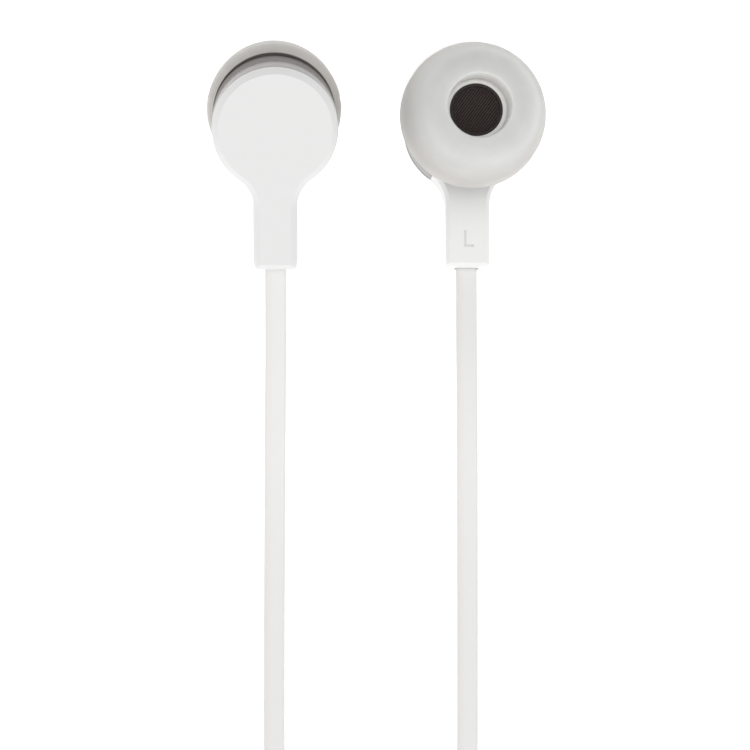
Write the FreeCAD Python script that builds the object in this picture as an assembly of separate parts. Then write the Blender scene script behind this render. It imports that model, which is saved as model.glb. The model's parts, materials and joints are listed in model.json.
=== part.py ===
"""In-ear earphones on a flat neck cord with one inline control pod.

World frame, millimetres: +Z up, the object lies on the plane Z = 0, and the origin is the bottom
centre of the two earbuds. +Y is the way the earbuds point, and the cord runs towards -Y.
Every earbud is built in its own frame: the centre of the flat outer face is its origin, +Z points
into the ear and the stem points towards -Y. Then it is turned and laid on the plane.
"""
import FreeCAD, Part
import math
import os

V = FreeCAD.Vector
ROT = FreeCAD.Rotation

# --- earbud casing -------------------------------------------------------------------------
DISC_R = 5.45            # round outer face
STEM_W = 3.65            # outer half of the stem
STEM_STEP = 0.10         # the inner half is this much wider on each side
STEM_END = 12.45         # from the centre of the face to the end of the stem
STEM_THICK = 3.2         # both halves together
STEM_CORNER = 0.35
NECK_R = 3.2             # hollow curve between face and stem
FACE_WALL = 0.8
FACE_EDGE = 0.5          # rounded edge of the face
INNER_EDGE = 0.35        # rounded edge of the inner half
SPLIT = 1.6              # depth of the seam between the halves
BAND_START = 0.62        # polished band around the face
BAND_RISE = 0.18         # the band ends this far above the stem
BAND_WALL = 0.45
BAND_INSET = 0.03
COLLAR_WALL = 0.43       # wall of the inner half inside the band
NECK_HALF = 3.1          # the band stops this far from the middle of the stem
GLUE = 0.02              # gap between glued walls
CHANNEL_W = 2.2          # wire channel in the stem
CHANNEL_DEPTH = 2.4

# --- driver and acoustic barrel -------------------------------------------------------------
DRIVER_GAP = 0.10
DRIVER_BACK = 1.0
DRIVER_FRONT = 3.0
DRIVER_WALL = 0.25
MAGNET_R = 2.6
MAGNET_T = 0.9
PLATE_T = 0.25
COIL_WALL = 0.15
GASKET_T = 0.10
BARREL_INSET = 0.12      # the barrel is this much slimmer than the face
BARREL_END = 5.9
BARREL_WALL = 0.6
BARREL_ROUND = 0.3
LIP_WALL = 0.42

# --- nozzle, grille and ear tip ---------------------------------------------------------------
NOZZLE_RISE = 0.25       # the nozzle sits this far above the middle of the face
NOZZLE_R = 2.5
NOZZLE_BORE = 1.9
NOZZLE_SPIGOT = 2.0
NOZZLE_LIP = 2.75
NOZZLE_END = 11.0
SEAT_R = 2.3             # seat of the grille in the nozzle
SEAT_DEPTH = 0.45
GRILLE_R = 2.05
GRILLE_T = 0.08
TIP_R = 6.1              # widest part of the ear tip
TIP_FRONT = 12.95
TIP_REAR = 6.15
TIP_WIDEST = 7.7
TIP_OPENING = 2.65       # edge of the mouth
TIP_FACE_R = 3.85        # where the front face turns into the dome
TIP_SKIN = 0.55
TIP_LIP = 5.25           # inner edge of the rolled rear rim
TIP_CLEAR = 0.05         # sleeve over the nozzle lip
SLEEVE_WALL = 0.45
SLEEVE_START = 6.75

# --- cord ----------------------------------------------------------------------------------------
CORD_W = 1.84
CORD_T = 0.95
SLOT_GAP = 0.10          # slot in the stem around the cord
CORD_GRIP = 0.9          # the cord goes this far into the stem
CORD_LEAD = 6.0          # straight stretch of cord outside the stem
ANCHOR_L = 1.8
LEAD_R = 0.15

# --- control pod ----------------------------------------------------------------------------------
POD_L = 44.0
POD_W = 10.0
POD_H = 7.0
POD_WALL = 1.0
POD_END_WALL = 1.3
POD_CORNER = 2.6
POD_EDGE = 1.4
TOP_DEPTH = 3.0          # depth of the top shell
POD_CENTRE = (-8.8, -122.0)
BOARD_T = 0.6
BOARD_GAP = 0.3
BATTERY_W = 7.0
BATTERY_ROOM = 0.4       # battery to circuit board, with its sticky pad under it
BATTERY_BACK = 1.8       # battery to charging socket
BATTERY_FRONT = 8.0      # battery to the pod's end
SOCKET = (5.4, 7.4, 2.6) # depth, width and height of the charging socket
SOCKET_FROM_END = 7.5
LED_FROM_END = 3.0
MIC_FROM_END = 3.4
MIC = (2.4, 1.6, 0.9)
BUTTON_W = 5.0
BUTTON_L = 6.2
BUTTON_CORNER = 1.6
BUTTON_PITCH = 9.0
BUTTON_PROUD = 0.4
BUTTON_TRAVEL = 0.3
BUTTON_GAP = 0.08
FLANGE = 0.5
FLANGE_T = 0.5
SWITCH = (3.0, 3.0, 0.55)
COVER_L = 9.4
COVER_H = 3.6
COVER_T = 0.55
COVER_GAP = 0.06
BOOT_L = 6.0
BOOT_BASE = (3.9, 2.6)
BOOT_TIP = (2.7, 1.7)
BOOT_FLANGE = (4.7, 2.7, 0.8)

# --- coil of put-away cord ---------------------------------------------------------------------------
COIL_BASE = 0.3
COIL_CENTRE = (-4.0, -172.0)
COIL_OUTER = 12.3        # middle of the outermost turn
COIL_TURNS = 4.5
COIL_PITCH = 1.0
COIL_TAIL = 6.0
TIE_T = 0.25
TIE_L = 4.0

# --- how the pieces lie ------------------------------------------------------------------------------
RIGHT_AT = (-8.43, 1.59)
RIGHT_TURN = (15.8, 181.8, 0.0)     # pitch, roll and yaw in degrees
LEFT_AT = (8.05, 2.16)
LEFT_TURN = (-5.7, 4.4, 0.0)
FLOOR_GAP = 0.01

# --- worked out --------------------------------------------------------------------------------------
band_end = STEM_THICK + BAND_RISE
band_out = DISC_R - BAND_INSET
band_in = band_out - BAND_WALL
collar_out = band_in - GLUE
collar_in = collar_out - COLLAR_WALL
driver_r = collar_in - DRIVER_GAP
magnet_front = DRIVER_BACK + DRIVER_WALL + MAGNET_T
plate_front = magnet_front + PLATE_T
barrel_r = DISC_R - BARREL_INSET
lip_out = collar_in - GLUE
lip_in = lip_out - LIP_WALL
barrel_start = band_end + GLUE
sleeve_bore = NOZZLE_LIP + TIP_CLEAR
cord_in_stem = STEM_END - CORD_GRIP
entry_z = COIL_BASE + CORD_W + CORD_T / 2
pod_end = POD_L / 2
cavity_top = POD_H - POD_WALL
board_z = POD_H - TOP_DEPTH
socket_y = SOCKET_FROM_END - pod_end
led_y = LED_FROM_END - pod_end
mic_y = pod_end - MIC_FROM_END
board_top = board_z + BOARD_T
coil_inner = COIL_OUTER - COIL_PITCH * COIL_TURNS


# --- helpers --------------------------------------------------------------------------------------------
def outline(start, *steps):
    """Closed wire in the XY plane. A step is a point for a line, or (middle, end) for an arc."""
    here = V(*start, 0)
    edges = []
    for step in steps + (start,):
        if isinstance(step[0], tuple):
            middle, end = V(*step[0], 0), V(*step[1], 0)
            edges.append(Part.Arc(here, middle, end).toShape())
        else:
            end = V(*step, 0)
            if here.distanceToPoint(end) < 1e-7:
                continue
            edges.append(Part.LineSegment(here, end).toShape())
        here = end
    return Part.Wire(edges)


def turned(start, *steps):
    """Solid of revolution about +Z from an outline of (radius, height) points."""
    face = Part.Face(outline(start, *steps))
    face.rotate(V(0, 0, 0), V(1, 0, 0), 90)
    return face.revolve(V(0, 0, 0), V(0, 0, 1), 360)


def prism(wire, low, high):
    """Solid between two heights with the shape of a closed wire."""
    face = Part.Face(wire)
    face.translate(V(0, 0, low))
    return face.extrude(V(0, 0, high - low))


def ring(outer, inner, low, high):
    return turned((inner, low), (outer, low), (outer, high), (inner, high))


def rod(radius, low, high):
    return Part.makeCylinder(radius, high - low, V(0, 0, low))


def block(x0, x1, y0, y1, z0, z1):
    return Part.makeBox(x1 - x0, y1 - y0, z1 - z0, V(x0, y0, z0))


def rounded(width, length, corner):
    """Rectangle with round corners, centred on the origin."""
    x, y, c = width / 2, length / 2, corner
    k = c * (1 - math.sqrt(0.5))
    return outline((x, y - c), ((x - k, y - k), (x - c, y)), (c - x, y), ((k - x, y - k), (-x, y - c)),
                   (-x, c - y), ((k - x, k - y), (c - x, -y)), (x - c, -y), ((x - k, k - y), (x, c - y)))


def rounded_edges(solid, radius, height):
    """Round every edge of a solid that lies wholly at one height."""
    def level(edge):
        box = edge.BoundBox
        return abs(box.ZMin - height) < 1e-5 and abs(box.ZMax - height) < 1e-5
    return solid.makeFillet(radius, [edge for edge in solid.Edges if level(edge)])


def one(shape):
    """The same shape with its spare seams removed, as a single solid where it is one."""
    shape = shape.removeSplitter()
    return shape.Solids[0] if len(shape.Solids) == 1 else shape


# --- earbud casing ------------------------------------------------------------------------------------------
def paddle(half_width):
    """Outline of the face and its stem: a disc, two hollow neck curves and a stem."""
    side = half_width + NECK_R
    neck_y = -math.sqrt((DISC_R + NECK_R) ** 2 - side ** 2)
    share = DISC_R / (DISC_R + NECK_R)
    meet = (side * share, neck_y * share)
    middle_angle = (math.atan2(-neck_y, -side) + math.pi) / 2
    middle = (side + NECK_R * math.cos(middle_angle), neck_y + NECK_R * math.sin(middle_angle))
    low = -STEM_END
    c = STEM_CORNER
    k = c * (1 - math.sqrt(0.5))
    w = half_width
    return outline((meet[0], meet[1]), ((0, DISC_R), (-meet[0], meet[1])),
                   ((-middle[0], middle[1]), (-w, neck_y)), (-w, low + c),
                   ((k - w, low + k), (c - w, low)), (w - c, low), ((w - k, low + k), (w, low + c)),
                   (w, neck_y), ((middle[0], middle[1]), (meet[0], meet[1])))


def neck_zone(low, high, grow=0.0):
    """Space of the stem and its neck, where the polished band is left out."""
    half = NECK_HALF + grow
    return block(-half, half, -STEM_END - 1, -DISC_R * 0.55, low, high)


def stem_hollow(low, high):
    """Wire channel, seat of the cord anchor and slot of the cord."""
    channel = block(-CHANNEL_W / 2, CHANNEL_W / 2, -cord_in_stem, -collar_in + 0.05, low, high)
    half_w = CORD_W / 2 + SLOT_GAP
    half_t = CORD_T / 2 + SLOT_GAP
    slot = block(-half_w, half_w, -STEM_END - 1, -cord_in_stem, SPLIT - half_t, SPLIT + half_t)
    return channel.fuse(slot)


def outer_shell():
    body = rounded_edges(prism(paddle(STEM_W / 2), 0, SPLIT), FACE_EDGE, 0)
    rebate = ring(DISC_R + 2, collar_out, BAND_START - GLUE, SPLIT + 1).cut(neck_zone(0, SPLIT + 1))
    pocket = rod(collar_in, FACE_WALL, SPLIT + 1)
    return one(body.cut(rebate).cut(pocket).cut(stem_hollow(FACE_WALL, SPLIT + 1)))


def inner_shell(mark):
    half = prism(paddle(STEM_W / 2 + STEM_STEP), SPLIT, STEM_THICK)
    half = rounded_edges(half, INNER_EDGE, STEM_THICK).common(neck_zone(0, STEM_THICK + 1))
    collar = rod(collar_out, SPLIT, band_end)
    body = half.fuse(collar).cut(rod(collar_in, 0, band_end + 1))
    return one(body.cut(stem_hollow(SPLIT - 1, CHANNEL_DEPTH)).cut(mark))


def trim_band():
    edge = 0.08
    band = turned((band_in, BAND_START), (band_out - edge, BAND_START), (band_out, BAND_START + edge),
                  (band_out, band_end - edge), (band_out - edge, band_end), (band_in, band_end))
    return one(band.cut(neck_zone(0, band_end + 1, GLUE)))


def letter_strokes(*strokes):
    """Shallow strokes for a side letter, each (x, y, width, height, turn in degrees)."""
    depth, left, low = 0.12, -0.22, -10.25
    marks = []
    for x, y, width, height, turn in strokes:
        stroke = block(0, width, 0, height, STEM_THICK - depth, STEM_THICK + 1)
        stroke.rotate(V(0, 0, 0), V(0, 0, 1), turn)
        stroke.translate(V(left + x, low + y, 0))
        marks.append(stroke)
    return marks[0].fuse(marks[1:])


def letter_l():
    return letter_strokes((0, 0, 0.2, 1.42, 0), (0, 0, 0.84, 0.2, 0))


def letter_r():
    bowl = ring(0.42, 0.22, STEM_THICK - 0.12, STEM_THICK + 1)
    bowl = bowl.common(block(0, 1, -1, 1, 0, STEM_THICK + 1))
    bowl.translate(V(0.12, -9.25, 0))
    strokes = letter_strokes((0, 0, 0.2, 1.42, 0), (0, 1.22, 0.36, 0.2, 0), (0, 0.58, 0.36, 0.2, 0),
                             (0.55, 0, 0.2, 0.72, 24))
    return strokes.fuse(bowl)


# --- driver ------------------------------------------------------------------------------------------------
def driver_frame():
    floor = DRIVER_BACK + DRIVER_WALL
    return turned((0, DRIVER_BACK), (driver_r, DRIVER_BACK), (driver_r, DRIVER_FRONT),
                  (driver_r - DRIVER_WALL, DRIVER_FRONT), (driver_r - DRIVER_WALL, floor), (0, floor))


def diaphragm():
    edge = driver_r - DRIVER_WALL - 0.03
    low, skin, crown = DRIVER_FRONT - 0.25, 0.08, 0.45
    dome, flat = MAGNET_R + 0.2, 0.4
    return turned((0, low + crown), (flat, low + crown), ((dome * 0.6, low + crown * 0.65), (dome, low)),
                  (edge, low), (edge, low + skin), (dome, low + skin),
                  ((dome * 0.6, low + skin + crown * 0.65), (flat, low + skin + crown)),
                  (0, low + skin + crown))


def driver_gasket():
    return ring(driver_r, driver_r - 0.6, DRIVER_FRONT, DRIVER_FRONT + GASKET_T)


def voice_coil():
    inner = MAGNET_R + 0.05
    return ring(inner + COIL_WALL, inner, magnet_front - 0.25, DRIVER_FRONT - 0.25)


# --- barrel, nozzle and tip -----------------------------------------------------------------------------------
def barrel():
    """Metal cup in front of the driver: a lip inside the collar, a wall and a front with a hole."""
    top, r, c = BARREL_END, barrel_r, BARREL_ROUND
    k = c * (1 - math.sqrt(0.5))
    lip_low = DRIVER_FRONT + GASKET_T
    cup = turned((lip_in, lip_low), (lip_out, lip_low), (lip_out, barrel_start), (r, barrel_start),
                 (r, top - c), ((r - k, top - k), (r - c, top)), (0, top), (0, top - BARREL_WALL),
                 (r - BARREL_WALL - 0.4, top - BARREL_WALL), (r - BARREL_WALL, top - BARREL_WALL - 0.4),
                 (r - BARREL_WALL, barrel_start + 0.6), (lip_in, barrel_start + 0.1))
    hole = rod(NOZZLE_SPIGOT + GLUE, top - 2, top + 1)
    hole.translate(V(0, NOZZLE_RISE, 0))
    return one(cup.cut(hole))


def nozzle():
    """Sound tube with a flange on the barrel, a lip that holds the tip and a seat for the grille."""
    back = BARREL_END
    front = NOZZLE_END
    return turned((1.5, back - 0.5), (NOZZLE_SPIGOT, back - 0.5), (NOZZLE_SPIGOT, back), (3.5, back),
                  (3.5, back + 0.25), ((2.8, back + 0.45), (NOZZLE_R, back + 0.95)),
                  (NOZZLE_R, front - 1.3), (NOZZLE_LIP, front - 1.05), (NOZZLE_LIP, front - 0.65),
                  (NOZZLE_LIP - 0.04, front), (SEAT_R, front), (SEAT_R, front - SEAT_DEPTH),
                  (NOZZLE_BORE, front - SEAT_DEPTH), (NOZZLE_BORE, back + 0.5), (1.5, back + 0.1))


def grille_ring():
    front = NOZZLE_END - 0.05
    return ring(SEAT_R - GLUE, GRILLE_R, NOZZLE_END - SEAT_DEPTH, front)


def grille():
    low = NOZZLE_END - SEAT_DEPTH + 0.12
    return rod(GRILLE_R, low, low + GRILLE_T)


def ear_tip():
    """Soft tip: a sleeve over the nozzle, a domed skirt and a rolled rim at the back."""
    front, rear, wide = TIP_FRONT, TIP_REAR, TIP_WIDEST
    sleeve = sleeve_bore + SLEEVE_WALL
    inside = TIP_R - TIP_SKIN
    step = NOZZLE_END + 0.1
    return turned((TIP_OPENING, front - 0.25), ((TIP_OPENING + 0.07, front - 0.07), (TIP_OPENING + 0.25, front)),
                  (TIP_FACE_R, front - 0.12), ((TIP_R - 0.72, front - 1.75), (TIP_R, wide)),
                  ((TIP_R - 0.1, rear + 0.55), (TIP_R - 0.45, rear)), (TIP_LIP, rear + 0.15),
                  (TIP_LIP, rear + 0.6), (inside, wide),
                  ((inside - 0.75, front - 2.35), (sleeve + 0.35, front - 1.35)), (sleeve, front - 1.6),
                  (sleeve, SLEEVE_START), (sleeve_bore, SLEEVE_START), (sleeve_bore, step),
                  (TIP_OPENING, step))


# --- cord end in the stem --------------------------------------------------------------------------------------
def cord_anchor():
    half = CHANNEL_W / 2 - 0.05
    return block(-half, half, -cord_in_stem, ANCHOR_L - cord_in_stem, FACE_WALL + 0.05,
                 CHANNEL_DEPTH - 0.05)


def lead_wires():
    """Two thin wires from the anchor to the back rim of the driver."""
    length = cord_in_stem - ANCHOR_L - driver_r
    wires = [Part.makeCylinder(LEAD_R, length, V(x, -driver_r - length, SPLIT), V(0, 1, 0))
             for x in (-0.5, 0.5)]
    return Part.makeCompound(wires)


def earbud(side, mark):
    """Every piece of one earbud in the earbud's own frame."""
    lift = V(0, NOZZLE_RISE, 0)
    pieces = {
        "outer_shell": outer_shell(),
        "inner_shell": inner_shell(mark),
        "trim_band": trim_band(),
        "driver_frame": driver_frame(),
        "driver_magnet": rod(MAGNET_R, DRIVER_BACK + DRIVER_WALL, magnet_front),
        "driver_top_plate": rod(MAGNET_R - 0.1, magnet_front, plate_front),
        "voice_coil": voice_coil(),
        "diaphragm": diaphragm(),
        "driver_gasket": driver_gasket(),
        "barrel": barrel(),
        "nozzle": nozzle().translated(lift),
        "grille_ring": grille_ring().translated(lift),
        "grille": grille().translated(lift),
        "ear_tip": ear_tip().translated(lift),
        "cord_anchor": cord_anchor(),
        "lead_wires": lead_wires(),
    }
    return {side + "_" + name: shape for name, shape in pieces.items()}


def lay_down(pieces, at, turn):
    """Turn an earbud and lower it until its lowest point is on the plane. Returns its placement."""
    pitch, roll, yaw = turn
    spin = ROT(V(0, 0, 1), yaw) * ROT(V(1, 0, 0), pitch) * ROT(V(0, 1, 0), roll)
    turned_only = FreeCAD.Placement(V(0, 0, 0), spin)
    lowest = min((turned_only.multVec(point)).z
                 for shape in pieces.values() for point in shape.tessellate(0.01)[0])
    placement = FreeCAD.Placement(V(at[0], at[1], -lowest), spin)
    for shape in pieces.values():
        shape.Placement = placement.multiply(shape.Placement)
    return placement


# --- cord ---------------------------------------------------------------------------------------------------------
def route(points):
    """Straight runs joined by tangent arcs, and the radii of those arcs."""
    edges, radii = [], []
    here = points[0]
    for before, corner, after in zip(points, points[1:], points[2:]):
        back, ahead = (before - corner), (after - corner)
        reach = 0.45 * min(back.Length, ahead.Length)
        half_turn = (math.pi - back.getAngle(ahead)) / 2
        back.normalize()
        ahead.normalize()
        first, last = corner + back * reach, corner + ahead * reach
        radius = reach / math.tan(half_turn)
        to_centre = (back + ahead).normalize()
        middle = corner + to_centre * (math.hypot(radius, reach) - radius)
        edges.append(Part.LineSegment(here, first).toShape())
        edges.append(Part.Arc(first, middle, last).toShape())
        radii.append(radius)
        here = last
    edges.append(Part.LineSegment(here, points[-1]).toShape())
    return Part.Wire(edges), radii


def ribbon(name, points, side):
    """Flat cord along a route. Its width lies along side at the start."""
    wire, radii = route(points)
    ahead = (points[1] - points[0]).normalize()
    across = (side - ahead * side.dot(ahead)).normalize() * (CORD_W / 2)
    thick = ahead.cross(across).normalize() * (CORD_T / 2)
    corners = [points[0] + across * a + thick * b for a, b in ((1, 1), (-1, 1), (-1, -1), (1, -1))]
    section = Part.makePolygon(corners + corners[:1])
    solid = wire.makePipeShell([section], True, False)
    solid = solid if solid.ShapeType == "Solid" else solid.Solids[0]
    expected = CORD_W * CORD_T * wire.Length
    print(name, "length %.1f" % wire.Length, "volume / expected %.4f" % (solid.Volume / expected),
          "radii", " ".join("%.0f" % radius for radius in radii))
    return solid


def coil():
    """Outer shape of the wound cord: a flat ring and the tail that leads into it."""
    cx, cy = COIL_CENTRE
    low, high = COIL_BASE, COIL_BASE + CORD_W
    half = CORD_T / 2
    turns = ring(COIL_OUTER + half, coil_inner - half, low, high).translated(V(cx, cy, 0))
    x = cx + COIL_OUTER
    return one(turns.fuse(block(x - half, x + half, cy, cy + COIL_TAIL, low, high)))


def coil_tie():
    """Soft band around all turns, at the side of the coil that is farthest from the earbuds."""
    cx, cy = COIL_CENTRE
    gap = 0.03
    out = COIL_OUTER + CORD_T / 2 + gap
    inner = coil_inner - CORD_T / 2 - gap
    low, high = COIL_BASE - gap, COIL_BASE + CORD_W + gap
    outside = block(-TIE_L / 2, TIE_L / 2, -out - TIE_T, TIE_T - inner, low - TIE_T, high + TIE_T)
    inside = ring(out, inner, low, high)
    return one(outside.cut(inside).translated(V(cx, cy, 0)))


# --- control pod --------------------------------------------------------------------------------------------------
def pod_body():
    body = prism(rounded(POD_W, POD_L, POD_CORNER), 0, POD_H)
    return rounded_edges(rounded_edges(body, POD_EDGE, POD_H), POD_EDGE, 0)


def pod_cavity():
    corner = POD_CORNER - POD_WALL
    wire = rounded(POD_W - 2 * POD_WALL, POD_L - 2 * POD_END_WALL, corner)
    return prism(wire, POD_WALL, cavity_top)


def button_places():
    return {"volume_up_button": BUTTON_PITCH, "multifunction_button": 0.0,
            "volume_down_button": -BUTTON_PITCH}


def button():
    """Cap through the top shell, a flange under it and a post over the switch."""
    cap_w, cap_l = BUTTON_W - 2 * BUTTON_GAP, BUTTON_L - 2 * BUTTON_GAP
    corner = BUTTON_CORNER - BUTTON_GAP
    flange_top = cavity_top - 0.03
    cap = prism(rounded(cap_w, cap_l, corner), flange_top - FLANGE_T, POD_H + BUTTON_PROUD)
    cap = rounded_edges(cap, 0.3, POD_H + BUTTON_PROUD)
    wide = rounded(BUTTON_W + 2 * FLANGE, BUTTON_L + 2 * FLANGE, BUTTON_CORNER + FLANGE)
    flange = prism(wide, flange_top - FLANGE_T, flange_top)
    post_low = board_top + SWITCH[2] + BUTTON_TRAVEL + 0.05
    return one(cap.fuse(flange).fuse(rod(0.7, post_low, flange_top)))


def socket_window():
    """Space of the charging socket and the seat of its cover in the side wall."""
    x = -POD_W / 2
    y, z = socket_y, board_z - SOCKET[2] / 2
    mouth = block(x - 1, x + SOCKET[0] + 1, y - SOCKET[1] / 2 - 0.1, y + SOCKET[1] / 2 + 0.1,
                  z - SOCKET[2] / 2 - 0.1, board_z + 1)
    seat = block(x - 1, x + COVER_T + COVER_GAP, y - COVER_L / 2 - COVER_GAP,
                 y + COVER_L / 2 + COVER_GAP, cover_low() - COVER_GAP, cover_low() + COVER_H + COVER_GAP)
    return mouth.common(block(x - 1, 0, -pod_end, pod_end, 0, board_z)).fuse(seat)


def cover_low():
    return board_z - SOCKET[2] / 2 - COVER_H / 2


def boot_hole():
    """Hole for the cord boot in both end walls."""
    holes = prism(rounded(BOOT_BASE[0] + 0.1, BOOT_BASE[1] + 0.1, 0.85), -POD_L, POD_L)
    holes.rotate(V(0, 0, 0), V(1, 0, 0), 90)
    return holes.translated(V(0, 0, entry_z))


def pod_top_shell():
    shell = pod_body().common(block(-POD_W, POD_W, -POD_L, POD_L, board_z, POD_H + 1)).cut(pod_cavity())
    for y in button_places().values():
        shell = shell.cut(prism(rounded(BUTTON_W, BUTTON_L, BUTTON_CORNER), 0, POD_H + 1).translated(V(0, y, 0)))
    for y in (led_y, mic_y):
        shell = shell.cut(rod(0.55, board_z, POD_H + 1).translated(V(0, y, 0)))
    return one(shell.cut(boot_hole()).cut(socket_window()))


def pod_bottom_shell():
    shell = pod_body().common(block(-POD_W, POD_W, -POD_L, POD_L, -1, board_z - GLUE)).cut(pod_cavity())
    return one(shell.cut(boot_hole()).cut(socket_window()))


def board():
    """Circuit board on the split, with a notch at each end where a boot's flange reaches that high."""
    wire = rounded(POD_W - 2 * POD_WALL - 2 * BOARD_GAP, POD_L - 2 * POD_END_WALL - 2 * BOARD_GAP, 1.0)
    plate = prism(wire, board_z, board_top)
    half, top = BOOT_FLANGE[0] / 2, entry_z + BOOT_FLANGE[1] / 2 + GLUE
    inner = pod_end - POD_END_WALL - BOOT_FLANGE[2] - GLUE
    for low, high in ((-pod_end, -inner), (inner, pod_end)):
        plate = plate.cut(block(-half, half, low, high, 0, top))
    return plate


def chips():
    """Radio, charger and amplifier packages between the switches, and a row of small parts."""
    amplifier_y = (BUTTON_PITCH + SWITCH[1] / 2 + mic_y - MIC[1] / 2) / 2
    row_y = led_y + 3.0
    shapes = []
    for y, width, length, height in ((BUTTON_PITCH / 2, 4.0, 2.0, 0.5), (-BUTTON_PITCH / 2, 3.4, 2.0, 0.5),
                                     (amplifier_y, 3.2, 1.8, 0.5)):
        shapes.append(block(-width / 2, width / 2, y - length / 2, y + length / 2, board_top,
                            board_top + height))
    for step in range(5):
        x = (step - 2) * 1.1
        shapes.append(block(x - 0.25, x + 0.25, row_y, row_y + 0.8, board_top, board_top + 0.3))
    return Part.makeCompound(shapes)


def switches():
    half_x, half_y = SWITCH[0] / 2, SWITCH[1] / 2
    return Part.makeCompound([block(-half_x, half_x, y - half_y, y + half_y, board_top, board_top + SWITCH[2])
                              for y in button_places().values()])


def battery():
    start, end = socket_y + SOCKET[1] / 2 + BATTERY_BACK, pod_end - BATTERY_FRONT
    low = POD_WALL + 0.05
    cell = prism(rounded(BATTERY_W, end - start, 0.9), low, board_z + 0.05 - BATTERY_ROOM)
    return cell.translated(V(0, (start + end) / 2, 0))


def charging_socket():
    """Metal shell of a small charging socket, open towards the side of the pod."""
    depth, width, height = SOCKET
    x = -POD_W / 2 + COVER_T + COVER_GAP + 0.05
    low = board_z - height
    shell = block(x, x + depth, socket_y - width / 2, socket_y + width / 2, low, board_z)
    wall = 0.3
    mouth = block(x - 1, x + depth - 0.8, socket_y - width / 2 + wall, socket_y + width / 2 - wall,
                  low + wall, board_z - wall)
    tongue = block(x + 0.8, x + depth - 0.8, socket_y - width / 3, socket_y + width / 3,
                   low + height / 2 - 0.3, low + height / 2 + 0.3)
    return one(shell.cut(mouth).fuse(tongue))


def socket_cover():
    """Flap over the charging socket, with a round knuckle at its hinge and a finger notch."""
    half = COVER_T / 2
    x = -POD_W / 2
    low, high = cover_low(), cover_low() + COVER_H
    hinge_y = socket_y + COVER_L / 2 - half
    flap = block(x, x + COVER_T, socket_y - COVER_L / 2, hinge_y, low, high)
    knuckle = rod(half, low, high).translated(V(x + half, hinge_y, 0))
    notch = rod(0.5, low - 1, high + 1).translated(V(x - 0.25, socket_y - COVER_L / 2 + 0.4, 0))
    return one(flap.fuse(knuckle).cut(notch))


def boot():
    """Cord boot for the +Y end: flange inside, neck through the wall and a tapered sleeve outside."""
    inside = pod_end - POD_END_WALL
    width, height = BOOT_BASE
    base = rounded(width, height, 0.8)
    tip = rounded(BOOT_TIP[0], BOOT_TIP[1], 0.6)
    tip.translate(V(0, 0, BOOT_L))
    sleeve = Part.makeLoft([base, tip], True).translated(V(0, 0, pod_end))
    neck = prism(base, inside, pod_end)
    flange = prism(rounded(BOOT_FLANGE[0], BOOT_FLANGE[1], 0.8), inside - BOOT_FLANGE[2], inside)
    solid = one(flange.fuse(neck).fuse(sleeve))
    solid.rotate(V(0, 0, 0), V(1, 0, 0), -90)
    return solid.translated(V(0, 0, entry_z))


def pod():
    """Every piece of the control pod, placed in the world frame."""
    far_boot = boot()
    near_boot = boot()
    near_boot.rotate(V(0, 0, entry_z), V(0, 0, 1), 180)
    pieces = {
        "pod_top_shell": pod_top_shell(),
        "pod_bottom_shell": pod_bottom_shell(),
        "pod_circuit_board": board(),
        "pod_chips": chips(),
        "pod_switches": switches(),
        "pod_battery": battery(),
        "pod_charging_socket": charging_socket(),
        "pod_socket_cover": socket_cover(),
        "pod_status_light": rod(0.5, board_top, POD_H + 0.05).translated(V(0, led_y, 0)),
        "pod_microphone": block(-MIC[0] / 2, MIC[0] / 2, mic_y - MIC[1] / 2, mic_y + MIC[1] / 2, board_top,
                                board_top + MIC[2]),
        "pod_boot_right": far_boot,
        "pod_boot_left": near_boot,
    }
    for name, y in button_places().items():
        pieces[name] = button().translated(V(0, y, 0))
    for shape in pieces.values():
        shape.translate(V(POD_CENTRE[0], POD_CENTRE[1], 0))
    return pieces


# --- assembly ------------------------------------------------------------------------------------------------------
right = earbud("right", letter_r())
left = earbud("left", letter_l())
right_place = lay_down(right, RIGHT_AT, RIGHT_TURN)
left_place = lay_down(left, LEFT_AT, LEFT_TURN)

cord_start = V(0, -cord_in_stem, SPLIT)
cord_out = V(0, -STEM_END, SPLIT)
floor_z = CORD_T / 2 + FLOOR_GAP
pod_x, pod_y = POD_CENTRE

# The cord leaves each stem in line with it for CORD_LEAD, falls to the plane and runs along it.
cord_corner = V(0, -STEM_END - CORD_LEAD, SPLIT)
right_start, right_out, right_corner = map(right_place.multVec, (cord_start, cord_out, cord_corner))
RIGHT_ROUTE = [(-8.60, -23.7, 4.1), (-8.68, -31.6, 1.5), (-8.76, -41.0, floor_z), (-8.76, -58.0, floor_z),
               (-8.5, -80.0, floor_z), (-8.7, -86.0, 1.5), (-8.8, -90.5, entry_z)]
right_end = V(pod_x, pod_y + pod_end + BOOT_L, entry_z)
right_points = [right_start, right_corner] + [V(*point) for point in RIGHT_ROUTE] + [right_end]

left_start, left_out, left_corner = map(left_place.multVec, (cord_start, cord_out, cord_corner))
LEFT_ROUTE = [(8.26, -23.2, 3.3), (8.3, -31.1, 1.4), (8.33, -40.0, floor_z), (8.33, -58.0, floor_z),
              (7.8, -94.0, floor_z), (7.7, -130.0, floor_z), (8.2, -149.0, 0.55),
              (8.3, -159.0, COIL_BASE + CORD_W / 2)]
left_end = V(COIL_CENTRE[0] + COIL_OUTER, COIL_CENTRE[1] + COIL_TAIL, COIL_BASE + CORD_W / 2)
left_points = [left_start, left_corner] + [V(*point) for point in LEFT_ROUTE] + [left_end]

coil_x, coil_y = COIL_CENTRE
POD_ROUTE = [(-11.8, -164.0, entry_z), (-8.8, -157.0, entry_z)]
pod_points = [V(coil_x - coil_inner, coil_y, entry_z)] + [V(*point) for point in POD_ROUTE]
pod_points += [V(pod_x, pod_y - pod_end - BOOT_L, entry_z)]

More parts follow.
